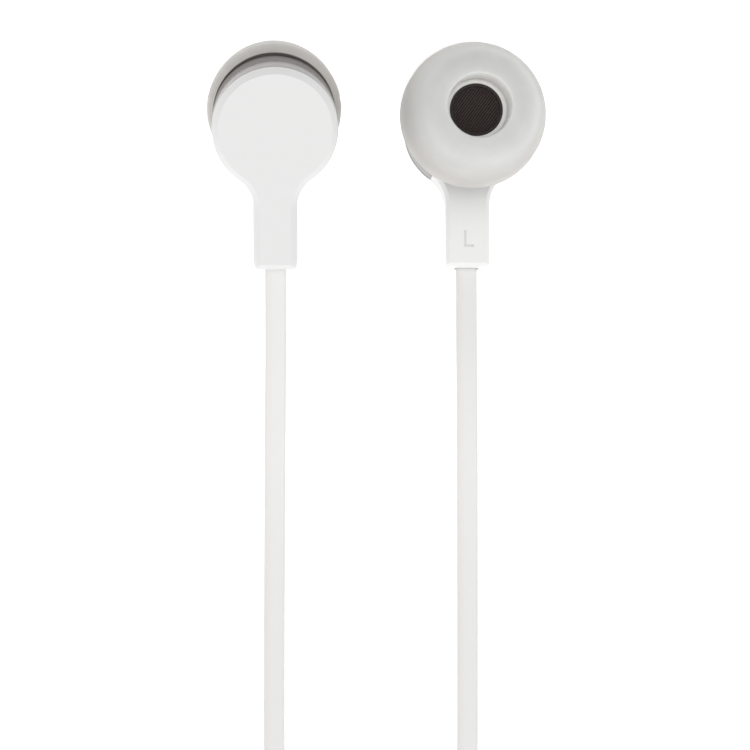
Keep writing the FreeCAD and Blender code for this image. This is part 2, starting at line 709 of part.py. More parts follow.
nodes = {}
nodes.update(right)
nodes.update(left)
nodes.update(pod())
nodes["cord_right"] = ribbon("cord_right", right_points, V(1, 0, 0))
nodes["cord_left"] = ribbon("cord_left", left_points, V(1, 0, 0))
nodes["cord_pod"] = ribbon("cord_pod", pod_points, V(1, 0, 0))
nodes["cord_coil"] = coil()
nodes["coil_tie"] = coil_tie()

os.makedirs("parts", exist_ok=True)
for name, shape in nodes.items():
    if not shape.isValid():
        print("NOT VALID", name)
    shape.exportStep("parts/" + name + ".step")

buds = Part.makeCompound([shape for name, shape in nodes.items() if name in right or name in left])
points = buds.tessellate(0.02)[0]
low = [min(point[axis] for point in points) for axis in range(3)]
high = [max(point[axis] for point in points) for axis in range(3)]
print("earbuds from", ["%.3f" % value for value in low], "to", ["%.3f" % value for value in high])
print("middle of the earbuds", ["%.3f" % ((a + b) / 2) for a, b in zip(low, high)])
for label, place, out in (("right", right_place, right_out), ("left", left_place, left_out)):
    axis = place.Rotation.multVec(V(0, 0, 1))
    base = place.Base
    print(label, "origin %.4f %.4f %.4f" % tuple(base), "tip axis %.5f %.5f %.5f" % tuple(axis),
          "cord leaves at %.3f %.3f %.3f" % tuple(out))
print("first corners", right_corner, left_corner)
print(len(nodes), "nodes,", "pod from Y", pod_y - pod_end, "to", pod_y + pod_end, "entry height", entry_z)
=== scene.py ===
import json
import math

import bmesh
import bpy
from mathutils import Matrix, Vector


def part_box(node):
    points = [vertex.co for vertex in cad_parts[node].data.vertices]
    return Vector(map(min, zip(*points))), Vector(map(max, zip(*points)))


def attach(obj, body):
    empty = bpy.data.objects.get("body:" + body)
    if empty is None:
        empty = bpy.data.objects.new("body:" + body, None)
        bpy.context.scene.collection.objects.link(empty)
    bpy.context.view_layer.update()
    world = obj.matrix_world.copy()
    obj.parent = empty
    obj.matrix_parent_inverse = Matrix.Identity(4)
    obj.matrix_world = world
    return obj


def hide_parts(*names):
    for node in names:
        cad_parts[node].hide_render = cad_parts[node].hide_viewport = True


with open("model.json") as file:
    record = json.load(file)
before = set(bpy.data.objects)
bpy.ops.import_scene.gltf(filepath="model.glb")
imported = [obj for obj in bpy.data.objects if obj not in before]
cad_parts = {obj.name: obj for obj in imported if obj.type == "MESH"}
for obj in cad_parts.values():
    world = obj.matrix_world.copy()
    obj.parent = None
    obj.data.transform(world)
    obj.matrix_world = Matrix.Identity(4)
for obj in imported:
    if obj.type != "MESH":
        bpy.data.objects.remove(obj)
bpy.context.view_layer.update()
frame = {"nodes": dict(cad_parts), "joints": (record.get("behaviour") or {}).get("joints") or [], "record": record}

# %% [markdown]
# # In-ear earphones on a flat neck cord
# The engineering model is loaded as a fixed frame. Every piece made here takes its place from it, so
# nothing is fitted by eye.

MM = 0.001
nodes = frame["nodes"]

# %% [markdown]
# ## Camera
# A long lens straight above keeps both cords parallel and shows the face of one earbud and the soft
# tip of the other. A short lens would do it too, but it would swell whatever stands higher.

# %% Camera straight above
VIEW_WIDTH = 66.4 * MM
CAMERA_HEIGHT = 450 * MM
CAMERA_AIM = (0.15 * MM, -19.40 * MM)

camera_data = bpy.data.cameras.new("camera")
camera_data.sensor_width = 36
camera_data.lens = camera_data.sensor_width * CAMERA_HEIGHT / VIEW_WIDTH
camera_data.clip_start = 0.01
camera = bpy.data.objects.new("camera", camera_data)
camera.location = (*CAMERA_AIM, CAMERA_HEIGHT)
bpy.context.scene.collection.objects.link(camera)
bpy.context.scene.camera = camera
bpy.context.scene.view_settings.view_transform = "Standard"
print("lens", round(camera_data.lens), "mm")

# %% [markdown]
# ## The earbuds' own frames
# Each earbud lies tilted, so its pieces are modelled upright, in millimetres, with the flat face at
# height 0 and the stem towards -Y. A matrix then lays them down. Its axes come from the frame: the
# direction in which the tip pulls off, the middle of the magnet and the middle of the cord anchor.

# %% Frames of the two earbuds
MAGNET_MIDDLE = 1.70          # height of the magnet's middle above the outer face


def middle(node):
    low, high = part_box(node)
    return (low + high) / 2


def earbud_frame(side):
    joint = next(j for j in frame["joints"] if j["name"] == side + "_tip_pull")
    ear = Vector(joint["axis"]).normalized()
    magnet = middle(side + "_driver_magnet")
    stem = middle(side + "_cord_anchor") - magnet
    up = -(stem - ear * stem.dot(ear)).normalized()
    across = up.cross(ear)
    origin = magnet - ear * MAGNET_MIDDLE * MM
    place = Matrix.Translation(origin) @ Matrix((across, up, ear)).transposed().to_4x4()
    return place @ Matrix.Scale(MM, 4)


FRAMES = {side: earbud_frame(side) for side in ("right", "left")}
for side, place in FRAMES.items():
    print(side, "face centre in mm", [round(value / MM, 2) for value in place.translation])

# %% [markdown]
# ## Mesh helpers
# Most pieces of an earbud are turned parts. `lathe` spins a closed profile round the height axis and
# writes a UV map, round the piece and along the profile, which brushed metal needs. `rounded_profile`
# breaks the corners of the profile first, because real moulded and turned edges are never sharp.

# %% Mesh helpers
def arc(start, through, end, steps):
    """Points on the circle through three points, without the first one."""
    a, b, c = (Vector(p).to_2d() for p in (start, through, end))
    turn = 2 * ((b - a).cross(c - a))
    ab, ac = (b - a), (c - a)
    centre = a + Vector((ac.y * ab.length_squared - ab.y * ac.length_squared,
                         ab.x * ac.length_squared - ac.x * ab.length_squared)) / turn
    first = math.atan2(a.y - centre.y, a.x - centre.x)
    last = math.atan2(c.y - centre.y, c.x - centre.x)
    sweep = (last - first) % (2 * math.pi)
    if turn < 0:
        sweep -= 2 * math.pi
    radius = (a - centre).length
    angles = [first + sweep * step / steps for step in range(1, steps + 1)]
    return [(centre.x + radius * math.cos(t), centre.y + radius * math.sin(t)) for t in angles]


def rounded_profile(points, radius, steps=3):
    """Closed profile with each corner replaced by a small arc, as large as its sides allow."""
    made = []
    count = len(points)
    for index, point in enumerate(points):
        corner = Vector(point)
        back = Vector(points[index - 1]) - corner
        ahead = Vector(points[(index + 1) % count]) - corner
        bend = math.pi - back.angle(ahead)
        if corner.x < 1e-6 or bend < math.radians(12):
            made.append(tuple(corner))
            continue
        reach = min(radius * math.tan(bend / 2), 0.4 * back.length, 0.4 * ahead.length)
        first, last = corner + back.normalized() * reach, corner + ahead.normalized() * reach
        for step in range(steps + 1):
            t = step / steps
            made.append(tuple(first * (1 - t) ** 2 + corner * 2 * t * (1 - t) + last * t ** 2))
    return made


UPRIGHT = Matrix.Identity(4)
MILLIMETRES = Matrix.Scale(MM, 4)
SMOOTH_ANGLE = 32             # degrees; a sharper bend stays an edge


def new_object(name, data):
    piece = bpy.data.objects.new(name, data)
    bpy.context.scene.collection.objects.link(piece)
    return piece


def smooth_by_angle(data, angle=SMOOTH_ANGLE):
    data.polygons.foreach_set("use_smooth", [True] * len(data.polygons))
    data.set_sharp_from_angle(angle=math.radians(angle))


def finished(mesh, name, place=UPRIGHT, smooth_angle=SMOOTH_ANGLE):
    """Object from a bmesh: laid in place, faces outwards, smooth up to an angle."""
    bmesh.ops.remove_doubles(mesh, verts=mesh.verts, dist=1e-5)
    bmesh.ops.recalc_face_normals(mesh, faces=mesh.faces)
    data = bpy.data.meshes.new(name)
    mesh.to_mesh(data)
    mesh.free()
    data.transform(place)
    smooth_by_angle(data, smooth_angle)
    return new_object(name, data)


def lathe(profile, segments=144, start=0.0, sweep=360.0, shift=(0, 0)):
    """Turned bmesh of a closed (radius, height) profile, whole or over a part of the circle."""
    mesh = bmesh.new()
    uv = mesh.loops.layers.uv.new("round_and_along")
    whole = sweep > 359.9
    columns = segments if whole else segments + 1
    angles = [math.radians(start + sweep * i / segments) for i in range(columns)]
    along = [0.0]
    for a, b in zip(profile, profile[1:] + profile[:1]):
        along.append(along[-1] + (Vector(b) - Vector(a)).length)
    rows = []
    for radius, height in profile:
        if radius < 1e-6:
            rows.append([mesh.verts.new((shift[0], shift[1], height))] * columns)
        else:
            rows.append([mesh.verts.new((shift[0] + radius * math.cos(t), shift[1] + radius * math.sin(t),
                                         height)) for t in angles])
    for row, (low, high) in enumerate(zip(rows, rows[1:] + rows[:1])):
        for i in range(segments):
            j = (i + 1) % columns
            corners = [low[i], low[j], high[j], high[i]]
            marks = [(i, row), (i + 1, row), (i + 1, row + 1), (i, row + 1)]
            keep = [k for k in range(4) if corners[k] not in corners[:k]]
            if len(keep) < 3:
                continue
            face = mesh.faces.new([corners[k] for k in keep])
            for loop, k in zip(face.loops, keep):
                loop[uv].uv = (marks[k][0] / segments, along[marks[k][1]])
    if not whole:
        mesh.faces.new([row[0] for row in rows][::-1])
        mesh.faces.new([row[-1] for row in rows])
    return mesh


def wall(mesh, first, second):
    """Faces between two loops of points."""
    for k in range(len(first)):
        n = (k + 1) % len(first)
        mesh.faces.new((first[k], first[n], second[n], second[k]))


def loft(rings, closed=True):
    """Closed bmesh through rings that have the same number of points, with flat caps."""
    mesh = bmesh.new()
    rows = [[mesh.verts.new(point) for point in ring] for ring in rings]
    for low, high in zip(rows, rows[1:]):
        wall(mesh, low, high)
    if closed:
        mesh.faces.new(rows[0][::-1])
        mesh.faces.new(rows[-1])
    return mesh


def rounded_box_ring(width, length, corner, height, steps=8):
    """Rectangle with round corners at one height."""
    made = []
    for quarter, (x, y) in enumerate(((1, 1), (-1, 1), (-1, -1), (1, -1))):
        for step in range(steps + 1):
            t = math.radians(90 * (quarter + step / steps))
            made.append((x * (width / 2 - corner) + corner * math.cos(t),
                         y * (length / 2 - corner) + corner * math.sin(t), height))
    return made


def laid(piece, place):
    """A piece that was carved upright, in millimetres, is laid in its place."""
    piece.data.transform(place)
    return piece


def bake(piece):
    """Put the result of a piece's modifiers in its mesh, and remove them."""
    bpy.context.view_layer.update()
    made = bpy.data.meshes.new_from_object(piece.evaluated_get(bpy.context.evaluated_depsgraph_get()))
    piece.modifiers.clear()
    old = piece.data
    piece.data = made
    bpy.data.meshes.remove(old)


def carve(piece, cutter, operation="DIFFERENCE"):
    """Cut one object out of another, or join them, and leave a plain mesh. Both are in millimetres,
    because the boolean merges points that lie too close, and in metres everything here does."""
    change = piece.modifiers.new("carve", "BOOLEAN")
    change.operation = operation
    change.object = cutter
    change.solver = "EXACT"
    bake(piece)
    bpy.data.objects.remove(cutter)
    smooth_by_angle(piece.data)
    return piece


FINISHES = {}


def settle(piece, body, slot, node, finish=None):
    """Give a finished piece its body and its material, which is the slot's own unless another finish is
    named, and hide the frame node that it stands for."""
    piece.data.materials.clear()
    piece.data.materials.append(FINISHES[finish or slot])
    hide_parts(node)
    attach(piece, body)


print("mesh helpers ready")

# %% [markdown]
# ## Finishes
# Every finish is a small node tree on object coordinates, so it moves with the piece. `start_finish`
# makes the shader, and `surface_grain` adds the fine unevenness that a moulded or turned surface has:
# a noise that shifts the roughness a little and gives a shallow bump. Numbers that are the same all
# over a surface are set on the shader itself.

# %% Finish helpers
def start_finish(name, colour, roughness, metallic=0.0, **inputs):
    material = bpy.data.materials.new(name)
    material.use_nodes = True
    material.diffuse_color = (*colour, 1)
    shader = material.node_tree.nodes["Principled BSDF"]
    shader.inputs["Base Color"].default_value = (*colour, 1)
    shader.inputs["Roughness"].default_value = roughness
    shader.inputs["Metallic"].default_value = metallic
    for label, value in inputs.items():
        shader.inputs[label.replace("_", " ")].default_value = value
    return material, shader


def add_node(tree, kind, values=None):
    """New node with its inputs. An input that is another node's output is linked."""
    node = tree.nodes.new(kind)
    for label, value in (values or {}).items():
        if isinstance(value, bpy.types.NodeSocket):
            tree.links.new(value, node.inputs[label])
        else:
            node.inputs[label].default_value = value
    return node


def coordinates(material, kind="Object", stretch=(1, 1, 1)):
    place = add_node(material.node_tree, "ShaderNodeTexCoord")
    values = {"Vector": place.outputs[kind], "Scale": stretch}
    return add_node(material.node_tree, "ShaderNodeMapping", values).outputs["Vector"]


def along_axis(tree, vector, axis):
    return add_node(tree, "ShaderNodeSeparateXYZ", {"Vector": vector}).outputs[axis]


def noise(material, vector, scale):
    values = {"Vector": vector, "Scale": scale, "Detail": 3.0}
    return add_node(material.node_tree, "ShaderNodeTexNoise", values).outputs["Fac"]


def ramp(material, value, stops):
    """Colour ramp whose stops are (position, colour)."""
    node = add_node(material.node_tree, "ShaderNodeValToRGB", {"Fac": value})
    while len(node.color_ramp.elements) < len(stops):
        node.color_ramp.elements.new(0.5)
    for element, (position, colour) in zip(node.color_ramp.elements, stops):
        element.position = position
        element.color = (*colour, 1)
    return node.outputs["Color"]


def multiply(material, first, second):
    node = add_node(material.node_tree, "ShaderNodeMix")
    node.data_type = "RGBA"
    node.blend_type = "MULTIPLY"
    node.inputs["Factor"].default_value = 1.0
    material.node_tree.links.new(first, node.inputs[6])
    material.node_tree.links.new(second, node.inputs[7])
    return node.outputs[2]


def spread(material, value, low, high):
    values = {"Value": value, "To Min": low, "To Max": high}
    return add_node(material.node_tree, "ShaderNodeMapRange", values).outputs["Result"]


def bump(material, shader, height, strength, distance):
    values = {"Height": height, "Strength": strength, "Distance": distance}
    node = add_node(material.node_tree, "ShaderNodeBump", values)
    material.node_tree.links.new(node.outputs["Normal"], shader.inputs["Normal"])


def shade(colour, factor):
    return tuple(min(1.0, value * factor) for value in colour)


def surface_grain(material, shader, colour, roughness, size, strength, tint=0.03, kind="Object",
                  stretch=(1, 1, 1), swing=0.06, depth=None):
    """Grain of a given size in metres: colour, roughness and bump vary together, gently."""
    vector = coordinates(material, kind, stretch)
    grain = noise(material, vector, 1 / size)
    colours = ramp(material, grain, [(0.3, shade(colour, 1 - tint)), (0.7, shade(colour, 1 + tint))])
    material.node_tree.links.new(colours, shader.inputs["Base Color"])
    rough = spread(material, grain, roughness - swing, roughness + swing)
    material.node_tree.links.new(rough, shader.inputs["Roughness"])
    bump(material, shader, grain, strength, depth or size * 0.1)


def grained(name, colour, roughness, size, strength, tint, depth=None, **inputs):
    """Finish of one colour with a grain."""
    material, shader = start_finish(name, colour, roughness, **inputs)
    surface_grain(material, shader, colour, roughness, size, strength, tint=tint, depth=depth)
    return material


print("finish helpers ready")


# %% [markdown]
# ### White moulded casing
# The casing is satin-gloss white plastic. Pure white would burn out under soft light, so the base is
# a warm light grey, with a thin coat for the gloss and a very fine orange-peel grain. The inner half
# is the same plastic, painted lighter than the outer one: painted light that makes up for the shade
# on the stem.

# %% White casing, nozzle and button plastic
CASING_WHITE = (0.73, 0.73, 0.727)
# painted light: the inner half is the same plastic, made lighter to make up for the shade on the stem
CASING_INNER_PAINTED_LIGHT = (0.81, 0.81, 0.805)

for slot, name, colour in (("white_casing", "casing_white", CASING_WHITE),
                           ("white_inner_casing", "casing_inner_white", CASING_INNER_PAINTED_LIGHT)):
    FINISHES[slot] = grained(name, colour, 0.32, 0.0011, 0.10, 0.004, 0.01 * MM, Coat_Weight=0.12,
                             Coat_Roughness=0.15)
FINISHES["nozzle_plastic"] = grained("nozzle_white", (0.80, 0.79, 0.76), 0.38, 0.0006, 0.10, 0.01,
                                     Subsurface_Weight=0.12, Subsurface_Radius=(1.0, 0.9, 0.8),
                                     Subsurface_Scale=0.0006)
FINISHES["button_rubber"] = grained("button_satin", (0.70, 0.70, 0.69), 0.5, 0.00025, 0.22, 0.02)
print("plastics:", ", ".join(FINISHES))

# %% [markdown]
# ### Metals
# Turned metal carries fine lines that run round the piece. The lathe's UV map goes round and along,
# so a noise stretched along the round direction draws those lines on any turned piece.

# %% Metal finishes
def turned_metal(name, colour, roughness, line, strength, streak):
    """Metal with fine lines round the piece. The line width is in millimetres, as the UV map is."""
    material, shader = start_finish(name, colour, roughness, metallic=1.0, Anisotropic=streak,
                                    Anisotropic_Rotation=0.25)
    surface_grain(material, shader, colour, roughness, line, strength, tint=0.05, kind="UV",
                  stretch=(0.3, 1, 1), swing=0.04, depth=0.004 * MM)
    tangent = add_node(material.node_tree, "ShaderNodeTangent")
    tangent.direction_type = "UV_MAP"
    material.node_tree.links.new(tangent.outputs["Tangent"], shader.inputs["Tangent"])
    return material


def plain_metal(name, colour, roughness, size=0.0004, tint=0.06, strength=0.15):
    return grained(name, colour, roughness, size, strength, tint, metallic=1.0)


FINISHES.update({
    # polished band: the real band is bright polished silver; its dark base colour is painted shade, standing in
    # for the dark reflection on its top
    "polished_band": turned_metal("polished_band", (0.16, 0.152, 0.146), 0.17, 0.06, 0.2, streak=0.6),
    # barrel: grey metal, its colour darkened further as painted shade for the shadow it lies in under the tip
    "barrel_metal": turned_metal("barrel_metal", (0.20, 0.187, 0.178), 0.5, 0.08, 0.3, streak=0.3),
    "driver_steel": plain_metal("driver_steel", (0.45, 0.45, 0.46), 0.35),
    "magnet": plain_metal("magnet_nickel", (0.32, 0.32, 0.34), 0.28),
    "copper_winding": plain_metal("copper_winding", (0.62, 0.26, 0.12), 0.30, 0.0001, 0.15),
    "switch_metal": plain_metal("switch_metal", (0.55, 0.54, 0.52), 0.32),
    "battery_foil": plain_metal("battery_foil", (0.60, 0.61, 0.64), 0.38, 0.0015, 0.08, 0.5),
})
print("with the metals:", len(FINISHES), "finishes")

# %% [markdown]
# ### Rubber
# The soft inserts and the tie are matt rubber, which light enters only a little way.

# %% Rubber
def soft_rubber(name, colour, roughness):
    return grained(name, colour, roughness, 0.0003, 0.2, 0.03, Subsurface_Weight=0.1,
                   Subsurface_Radius=(1.0, 0.95, 0.9), Subsurface_Scale=0.0005)


FINISHES["soft_insert"] = soft_rubber("soft_insert", (0.66, 0.66, 0.65), 0.6)
FINISHES["tie_silicone"] = soft_rubber("tie_silicone", (0.42, 0.43, 0.43), 0.5)
print("with the rubbers:", len(FINISHES), "finishes")

# %% [markdown]
# ### Cord jacket
# The flat cord is extruded elastomer: smooth, matt, and a little warmer where a wire inside shows
# through near one side. The cord's UV map runs across and along it, so that stripe follows every
# bend. Small dark specks sit here and there in the jacket.

# %% Cord jacket
JACKET = (0.755, 0.752, 0.748)


def jacket_finish():
    material, shader = start_finish("cord_jacket", JACKET, 0.5, Subsurface_Weight=0.12,
                                    Subsurface_Radius=(1.0, 0.96, 0.92), Subsurface_Scale=0.0003)
    tree = material.node_tree
    across = along_axis(tree, coordinates(material, "UV"), "X")
    # across the cord: painted shade darkens both rounded side edges, a touch lighter just inside one edge, and the
    # warm stripe is a wire showing through
    wire_stripe_and_painted_edge_shade = ramp(material, across,
                   [(0.0, shade(JACKET, 0.92)), (0.15, shade(JACKET, 1.01)), (0.64, JACKET),
                    (0.76, (0.755, 0.73, 0.712)), (0.88, shade(JACKET, 0.97)), (1.0, shade(JACKET, 0.90))])
    cells = add_node(tree, "ShaderNodeTexVoronoi", {"Vector": coordinates(material), "Scale": 62})
    specks = ramp(material, cells.outputs["Distance"], [(0.010, (0.45, 0.40, 0.36)), (0.013, (1, 1, 1))])
    tree.links.new(multiply(material, wire_stripe_and_painted_edge_shade, specks), shader.inputs["Base Color"])
    grain = noise(material, coordinates(material), 1 / 0.0004)
    tree.links.new(spread(material, grain, 0.44, 0.56), shader.inputs["Roughness"])
    bump(material, shader, grain, 0.12, 0.00003)
    return material


FINISHES["cord_jacket"] = jacket_finish()
print("cord jacket ready")

# %% [markdown]
# ### Finishes of the pieces inside
# Nobody sees the driver and the electronics until the casing comes off, but they are real pieces too.
# The circuit board gets faint traces. The rest is plastic and foam, with a grain of its own size.

# %% Inner finishes
def board_finish():
    colour = (0.015, 0.17, 0.07)
    material, shader = start_finish("circuit_board", colour, 0.35, Coat_Weight=0.5)
    tree = material.node_tree
    bricks = add_node(tree, "ShaderNodeTexBrick",
                      {"Vector": coordinates(material), "Scale": 420, "Mortar Size": 0.012,
                       "Color1": (*colour, 1), "Color2": (*shade(colour, 0.8), 1),
                       "Mortar": (0.10, 0.34, 0.12, 1)})
    tree.links.new(bricks.outputs["Color"], shader.inputs["Base Color"])
    bump(material, shader, bricks.outputs["Fac"], 0.2, 0.00003)
    return material


def plain_plastic(name, colour, roughness, size=0.0004, **inputs):
    return grained(name, colour, roughness, size, 0.15, 0.05, **inputs)


FINISHES.update({
    "grille_mesh": plain_plastic("grille_thread", (0.042, 0.030, 0.027), 0.7, 0.0002,
                                 Specular_IOR_Level=0.3),
    "grille_rim": plain_plastic("grille_rim", (0.026, 0.021, 0.020), 0.6, Specular_IOR_Level=0.3),
    "membrane": plain_plastic("membrane_film", (0.55, 0.56, 0.58), 0.2, Transmission_Weight=0.4),
    "gasket": plain_plastic("gasket_foam", (0.03, 0.03, 0.03), 0.85, 0.00015),
    "circuit_board": board_finish(),
    "chip": plain_plastic("chip_epoxy", (0.02, 0.02, 0.02), 0.55, 0.0002),
    "status_lens": plain_plastic("status_lens", (0.80, 0.84, 0.90), 0.12, Transmission_Weight=0.7),
})
print(len(FINISHES), "finishes")

# %% [markdown]
# ## Cords
# A flat cord is a ribbon: easy to bend across its thickness and stiff across its width. Its middle
# line is a NURBS curve through a few given points. `cord_line` reads the curve's points back,
# and `ribbon` lays a rounded flat section along them. Where the cord winds up it has to stand on its
# edge, as any ribbon does, so the section also turns about the line.

# %% Cord builders
CORD_W = 1.84 * MM
CORD_T = 0.95 * MM
CORD_EDGE = 0.38 * MM
STEM_END = 12.45
CORD_GRIP = 0.9
CORD_LEAD = 6.0
SEAM = 1.6
REST_Z = CORD_T / 2 + 0.01 * MM


def in_metres(points):
    return [Vector(point) * MM for point in points]


def cord_line(name, points):
    """Points along the NURBS curve of a cord's route."""
    data = bpy.data.curves.new(name + "_line", "CURVE")
    data.dimensions = "3D"
    data.resolution_u = 8
    spline = data.splines.new("NURBS")
    spline.points.add(len(points) - 1)
    for target, point in zip(spline.points, points):
        target.co = (*point, 1)
    spline.order_u = 3
    spline.use_endpoint_u = True
    holder = new_object(name + "_line", data)
    bpy.context.view_layer.update()
    evaluated = holder.evaluated_get(bpy.context.evaluated_depsgraph_get())
    line = [v.co.copy() for v in bpy.data.meshes.new_from_object(evaluated).vertices]
    bpy.data.objects.remove(holder)
    return [point for i, point in enumerate(line) if i == 0 or (point - line[i - 1]).length > 1e-6]


def ribbon(name, line, roll):
    """Flat cord along a line. roll(distance, total) is its turn about the line, in radians."""
    distances = [0.0]
    for a, b in zip(line, line[1:]):
        distances.append(distances[-1] + (b - a).length)
    total = distances[-1]
    section = [(x, y) for x, y, _ in rounded_box_ring(CORD_W, CORD_T, CORD_EDGE, 0, 4)]
    mesh = bmesh.new()
    uv = mesh.loops.layers.uv.new("across_and_along")
    rows = []
    for index, point in enumerate(line):
        ahead = (line[min(index + 1, len(line) - 1)] - line[max(index - 1, 0)]).normalized()
        side = ahead.cross(Vector((0, 0, 1))).normalized()
        top = side.cross(ahead)
        turn = roll(distances[index], total)
        across = side * math.cos(turn) + top * math.sin(turn)
        thick = top * math.cos(turn) - side * math.sin(turn)
        row = []
        for x, y in section:
            spot = point + across * x + thick * y
            spot.z = max(spot.z, 0.0)
            row.append(mesh.verts.new(spot))
        rows.append(row)
    count = len(section)
    for i, (low, high) in enumerate(zip(rows, rows[1:])):
        for k in range(count):
            n = (k + 1) % count
            face = mesh.faces.new((low[k], low[n], high[n], high[k]))
            for loop, (corner, step) in zip(face.loops, ((k, i), (n, i), (n, i + 1), (k, i + 1))):
                loop[uv].uv = (section[corner][0] / CORD_W + 0.5, distances[step])
    mesh.faces.new(rows[0][::-1])
    mesh.faces.new(rows[-1])
    piece = finished(mesh, name, UPRIGHT, 40)
    print(name, "is", round(total / MM, 1), "mm long with", len(line), "points")
    return piece


def ease(value, start, end):
    """0 before start, 1 after end and a smooth step between."""
    t = min(1.0, max(0.0, (value - start) / (end - start)))
    return t * t * (3 - 2 * t)


print("flat cord", CORD_W / MM, "by", CORD_T / MM, "mm")

# %% [markdown]
# ### The two cords
# The right cord drops from its stem to the surface and runs to the control pod. The left one runs on
# past the pod, stands up on its edge, winds inwards in just over four turns, climbs over them and
# goes into the pod's other end. The turns are worked out by a loop, and the rest of the route is
# listed point by point.

# %% Routes and cords
COIL_X, COIL_Y = -4.0, -172.0
COIL_OUTER = 12.3
COIL_PITCH = 1.0
COIL_BASE = 0.3
TURNS = 4.25
PER_TURN = 16
ON_EDGE_Z = COIL_BASE + CORD_W / MM / 2
ENTRY_Z = COIL_BASE + (CORD_W + CORD_T / 2) / MM
REST = REST_Z / MM
BOOT_TIP_RIGHT = (-8.8, -94.0, ENTRY_Z)
BOOT_TIP_LEFT = (-8.8, -150.0, ENTRY_Z)
LEAN_FADES = (0.003, 0.020)       # metres along the cord
STANDS_UP = (0.1395, 0.157)
LIES_DOWN = (0.0285, 0.0185)      # metres before its end


def stem_points(side):
    """The cord's end in the stem and the corner of its straight lead outside it."""
    return [FRAMES[side] @ Vector((0, y, SEAM)) for y in (CORD_GRIP - STEM_END, -STEM_END - CORD_LEAD)]


def coil_points():
    """Turns of the coil from its right side, clockwise and inwards."""
    made = []
    for step in range(int(TURNS * PER_TURN) + 1):
        turns = step / PER_TURN
        radius = COIL_OUTER - COIL_PITCH * turns
        angle = -2 * math.pi * turns
        made.append((COIL_X + radius * math.cos(angle), COIL_Y + radius * math.sin(angle), ON_EDGE_Z))
    return made


RIGHT_ROUTE = [(-8.60, -23.7, 4.1), (-8.68, -31.6, 1.5), (-8.76, -41.0, REST), (-8.76, -58.0, REST),
               (-8.5, -80.0, REST), (-8.7, -86.0, 1.5), (-8.8, -90.5, ENTRY_Z), BOOT_TIP_RIGHT]
LEFT_ROUTE = [(8.26, -23.2, 3.3), (8.3, -31.1, 1.4), (8.33, -40.0, REST), (8.33, -58.0, REST),
              (7.8, -94.0, REST), (7.7, -130.0, REST), (8.2, -149.0, 0.55), (8.3, -159.0, ON_EDGE_Z),
              (8.3, -166.0, ON_EDGE_Z)]
INNER_END = [(COIL_X - 5.0, COIL_Y - 5.4, ON_EDGE_Z), (COIL_X - 6.7, COIL_Y - 1.6, 1.35),
             (COIL_X - 7.0, COIL_Y + 1.6, 2.2), (COIL_X - 7.1, COIL_Y + 5.0, 2.78),
             (COIL_X - 6.7, COIL_Y + 9.5, 2.72), (COIL_X - 5.5, COIL_Y + 13.5, 2.66),
             (COIL_X - 4.8, COIL_Y + 17.5, ENTRY_Z), BOOT_TIP_LEFT]


def lean(side):
    """How far an earbud leans sideways, which its cord follows where it leaves the stem."""
    across = FRAMES[side].to_3x3() @ Vector((1, 0, 0)) / MM
    return math.asin(across.z) * (1 if across.x > 0 else -1)


def stem_roll(side, distance):
    """Turn of the cord as it leaves a leaning stem. It fades as the cord comes down."""
    return -lean(side) * (1 - ease(distance, *LEAN_FADES))


def right_roll(distance, total):
    return stem_roll("right", distance)


def left_roll(distance, total):
    on_edge = ease(distance, *STANDS_UP) - ease(distance, *(total - left for left in LIES_DOWN))
    return stem_roll("left", distance) + math.radians(90) * on_edge


right_line = cord_line("cord_right", stem_points("right") + in_metres(RIGHT_ROUTE))
right_cord = ribbon("cord_right_ribbon", right_line, right_roll)
left_line = cord_line("cord_left", stem_points("left") + in_metres(LEFT_ROUTE + coil_points() + INNER_END))
left_cord = ribbon("cord_left_ribbon", left_line, left_roll)

settle(right_cord, "earphones", "cord_jacket", "cord_right")
settle(left_cord, "earphones", "cord_jacket", "cord_left")
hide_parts("cord_coil", "cord_pod")

# %% [markdown]
# ### Tie round the coil
# A soft silicone band holds the turns. It is a flat strap bent round all of them: a closed wall with
# four corners inside and four outside, repeated across the strap, and every other row makes a rib.

# %% Coil tie
TIE_T = 0.25
TIE_L = 4.0
TIE_RIB = 0.05
TIE_GAP = 0.03
TIE_STEPS = 12
TIED_TURNS = 4.5


def tie_piece():
    inner = COIL_OUTER - COIL_PITCH * TIED_TURNS - CORD_T / MM / 2 - TIE_GAP
    outer = COIL_OUTER + CORD_T / MM / 2 + TIE_GAP
    low, high = COIL_BASE - TIE_GAP, COIL_BASE + CORD_W / MM + TIE_GAP
    mesh = bmesh.new()
    rows = []
    for step in range(TIE_STEPS + 1):
        x = TIE_L * (step / TIE_STEPS - 0.5)
        grow = TIE_T + (TIE_RIB if 0 < step < TIE_STEPS and step % 2 else 0.0)
        inside = [(outer, low), (outer, high), (inner, high), (inner, low)]
        outside = [(outer + grow, low - TIE_T), (outer + grow, high + grow), (inner - grow, high + grow),
                   (inner - grow, low - TIE_T)]
        rows.append([[mesh.verts.new((x, -r, z)) for r, z in loop] for loop in (inside, outside)])
    for first, second in zip(rows, rows[1:]):
        wall(mesh, first[0], second[0])
        wall(mesh, first[1], second[1])
    for end in (rows[0], rows[-1]):
        wall(mesh, end[0], end[1])
    place = Matrix.Translation(Vector((COIL_X, COIL_Y, 0)) * MM) @ MILLIMETRES
    return finished(mesh, "coil_tie_band", place)


settle(tie_piece(), "earphones", "tie_silicone", "coil_tie")
print("tie round", TIED_TURNS, "turns")

# %% [markdown]
# ## Earbud casing
# Seen from outside, an earbud is a paddle: a disc, two hollow curves and a short stem. `paddle_ring`
# gives that outline pulled in by any amount, always with the same number of points. Rings pulled in
# bit by bit make the edge: a gentle slope that meets the flat face in a fine line, then a round turn
# down to the side. A loft joins them.

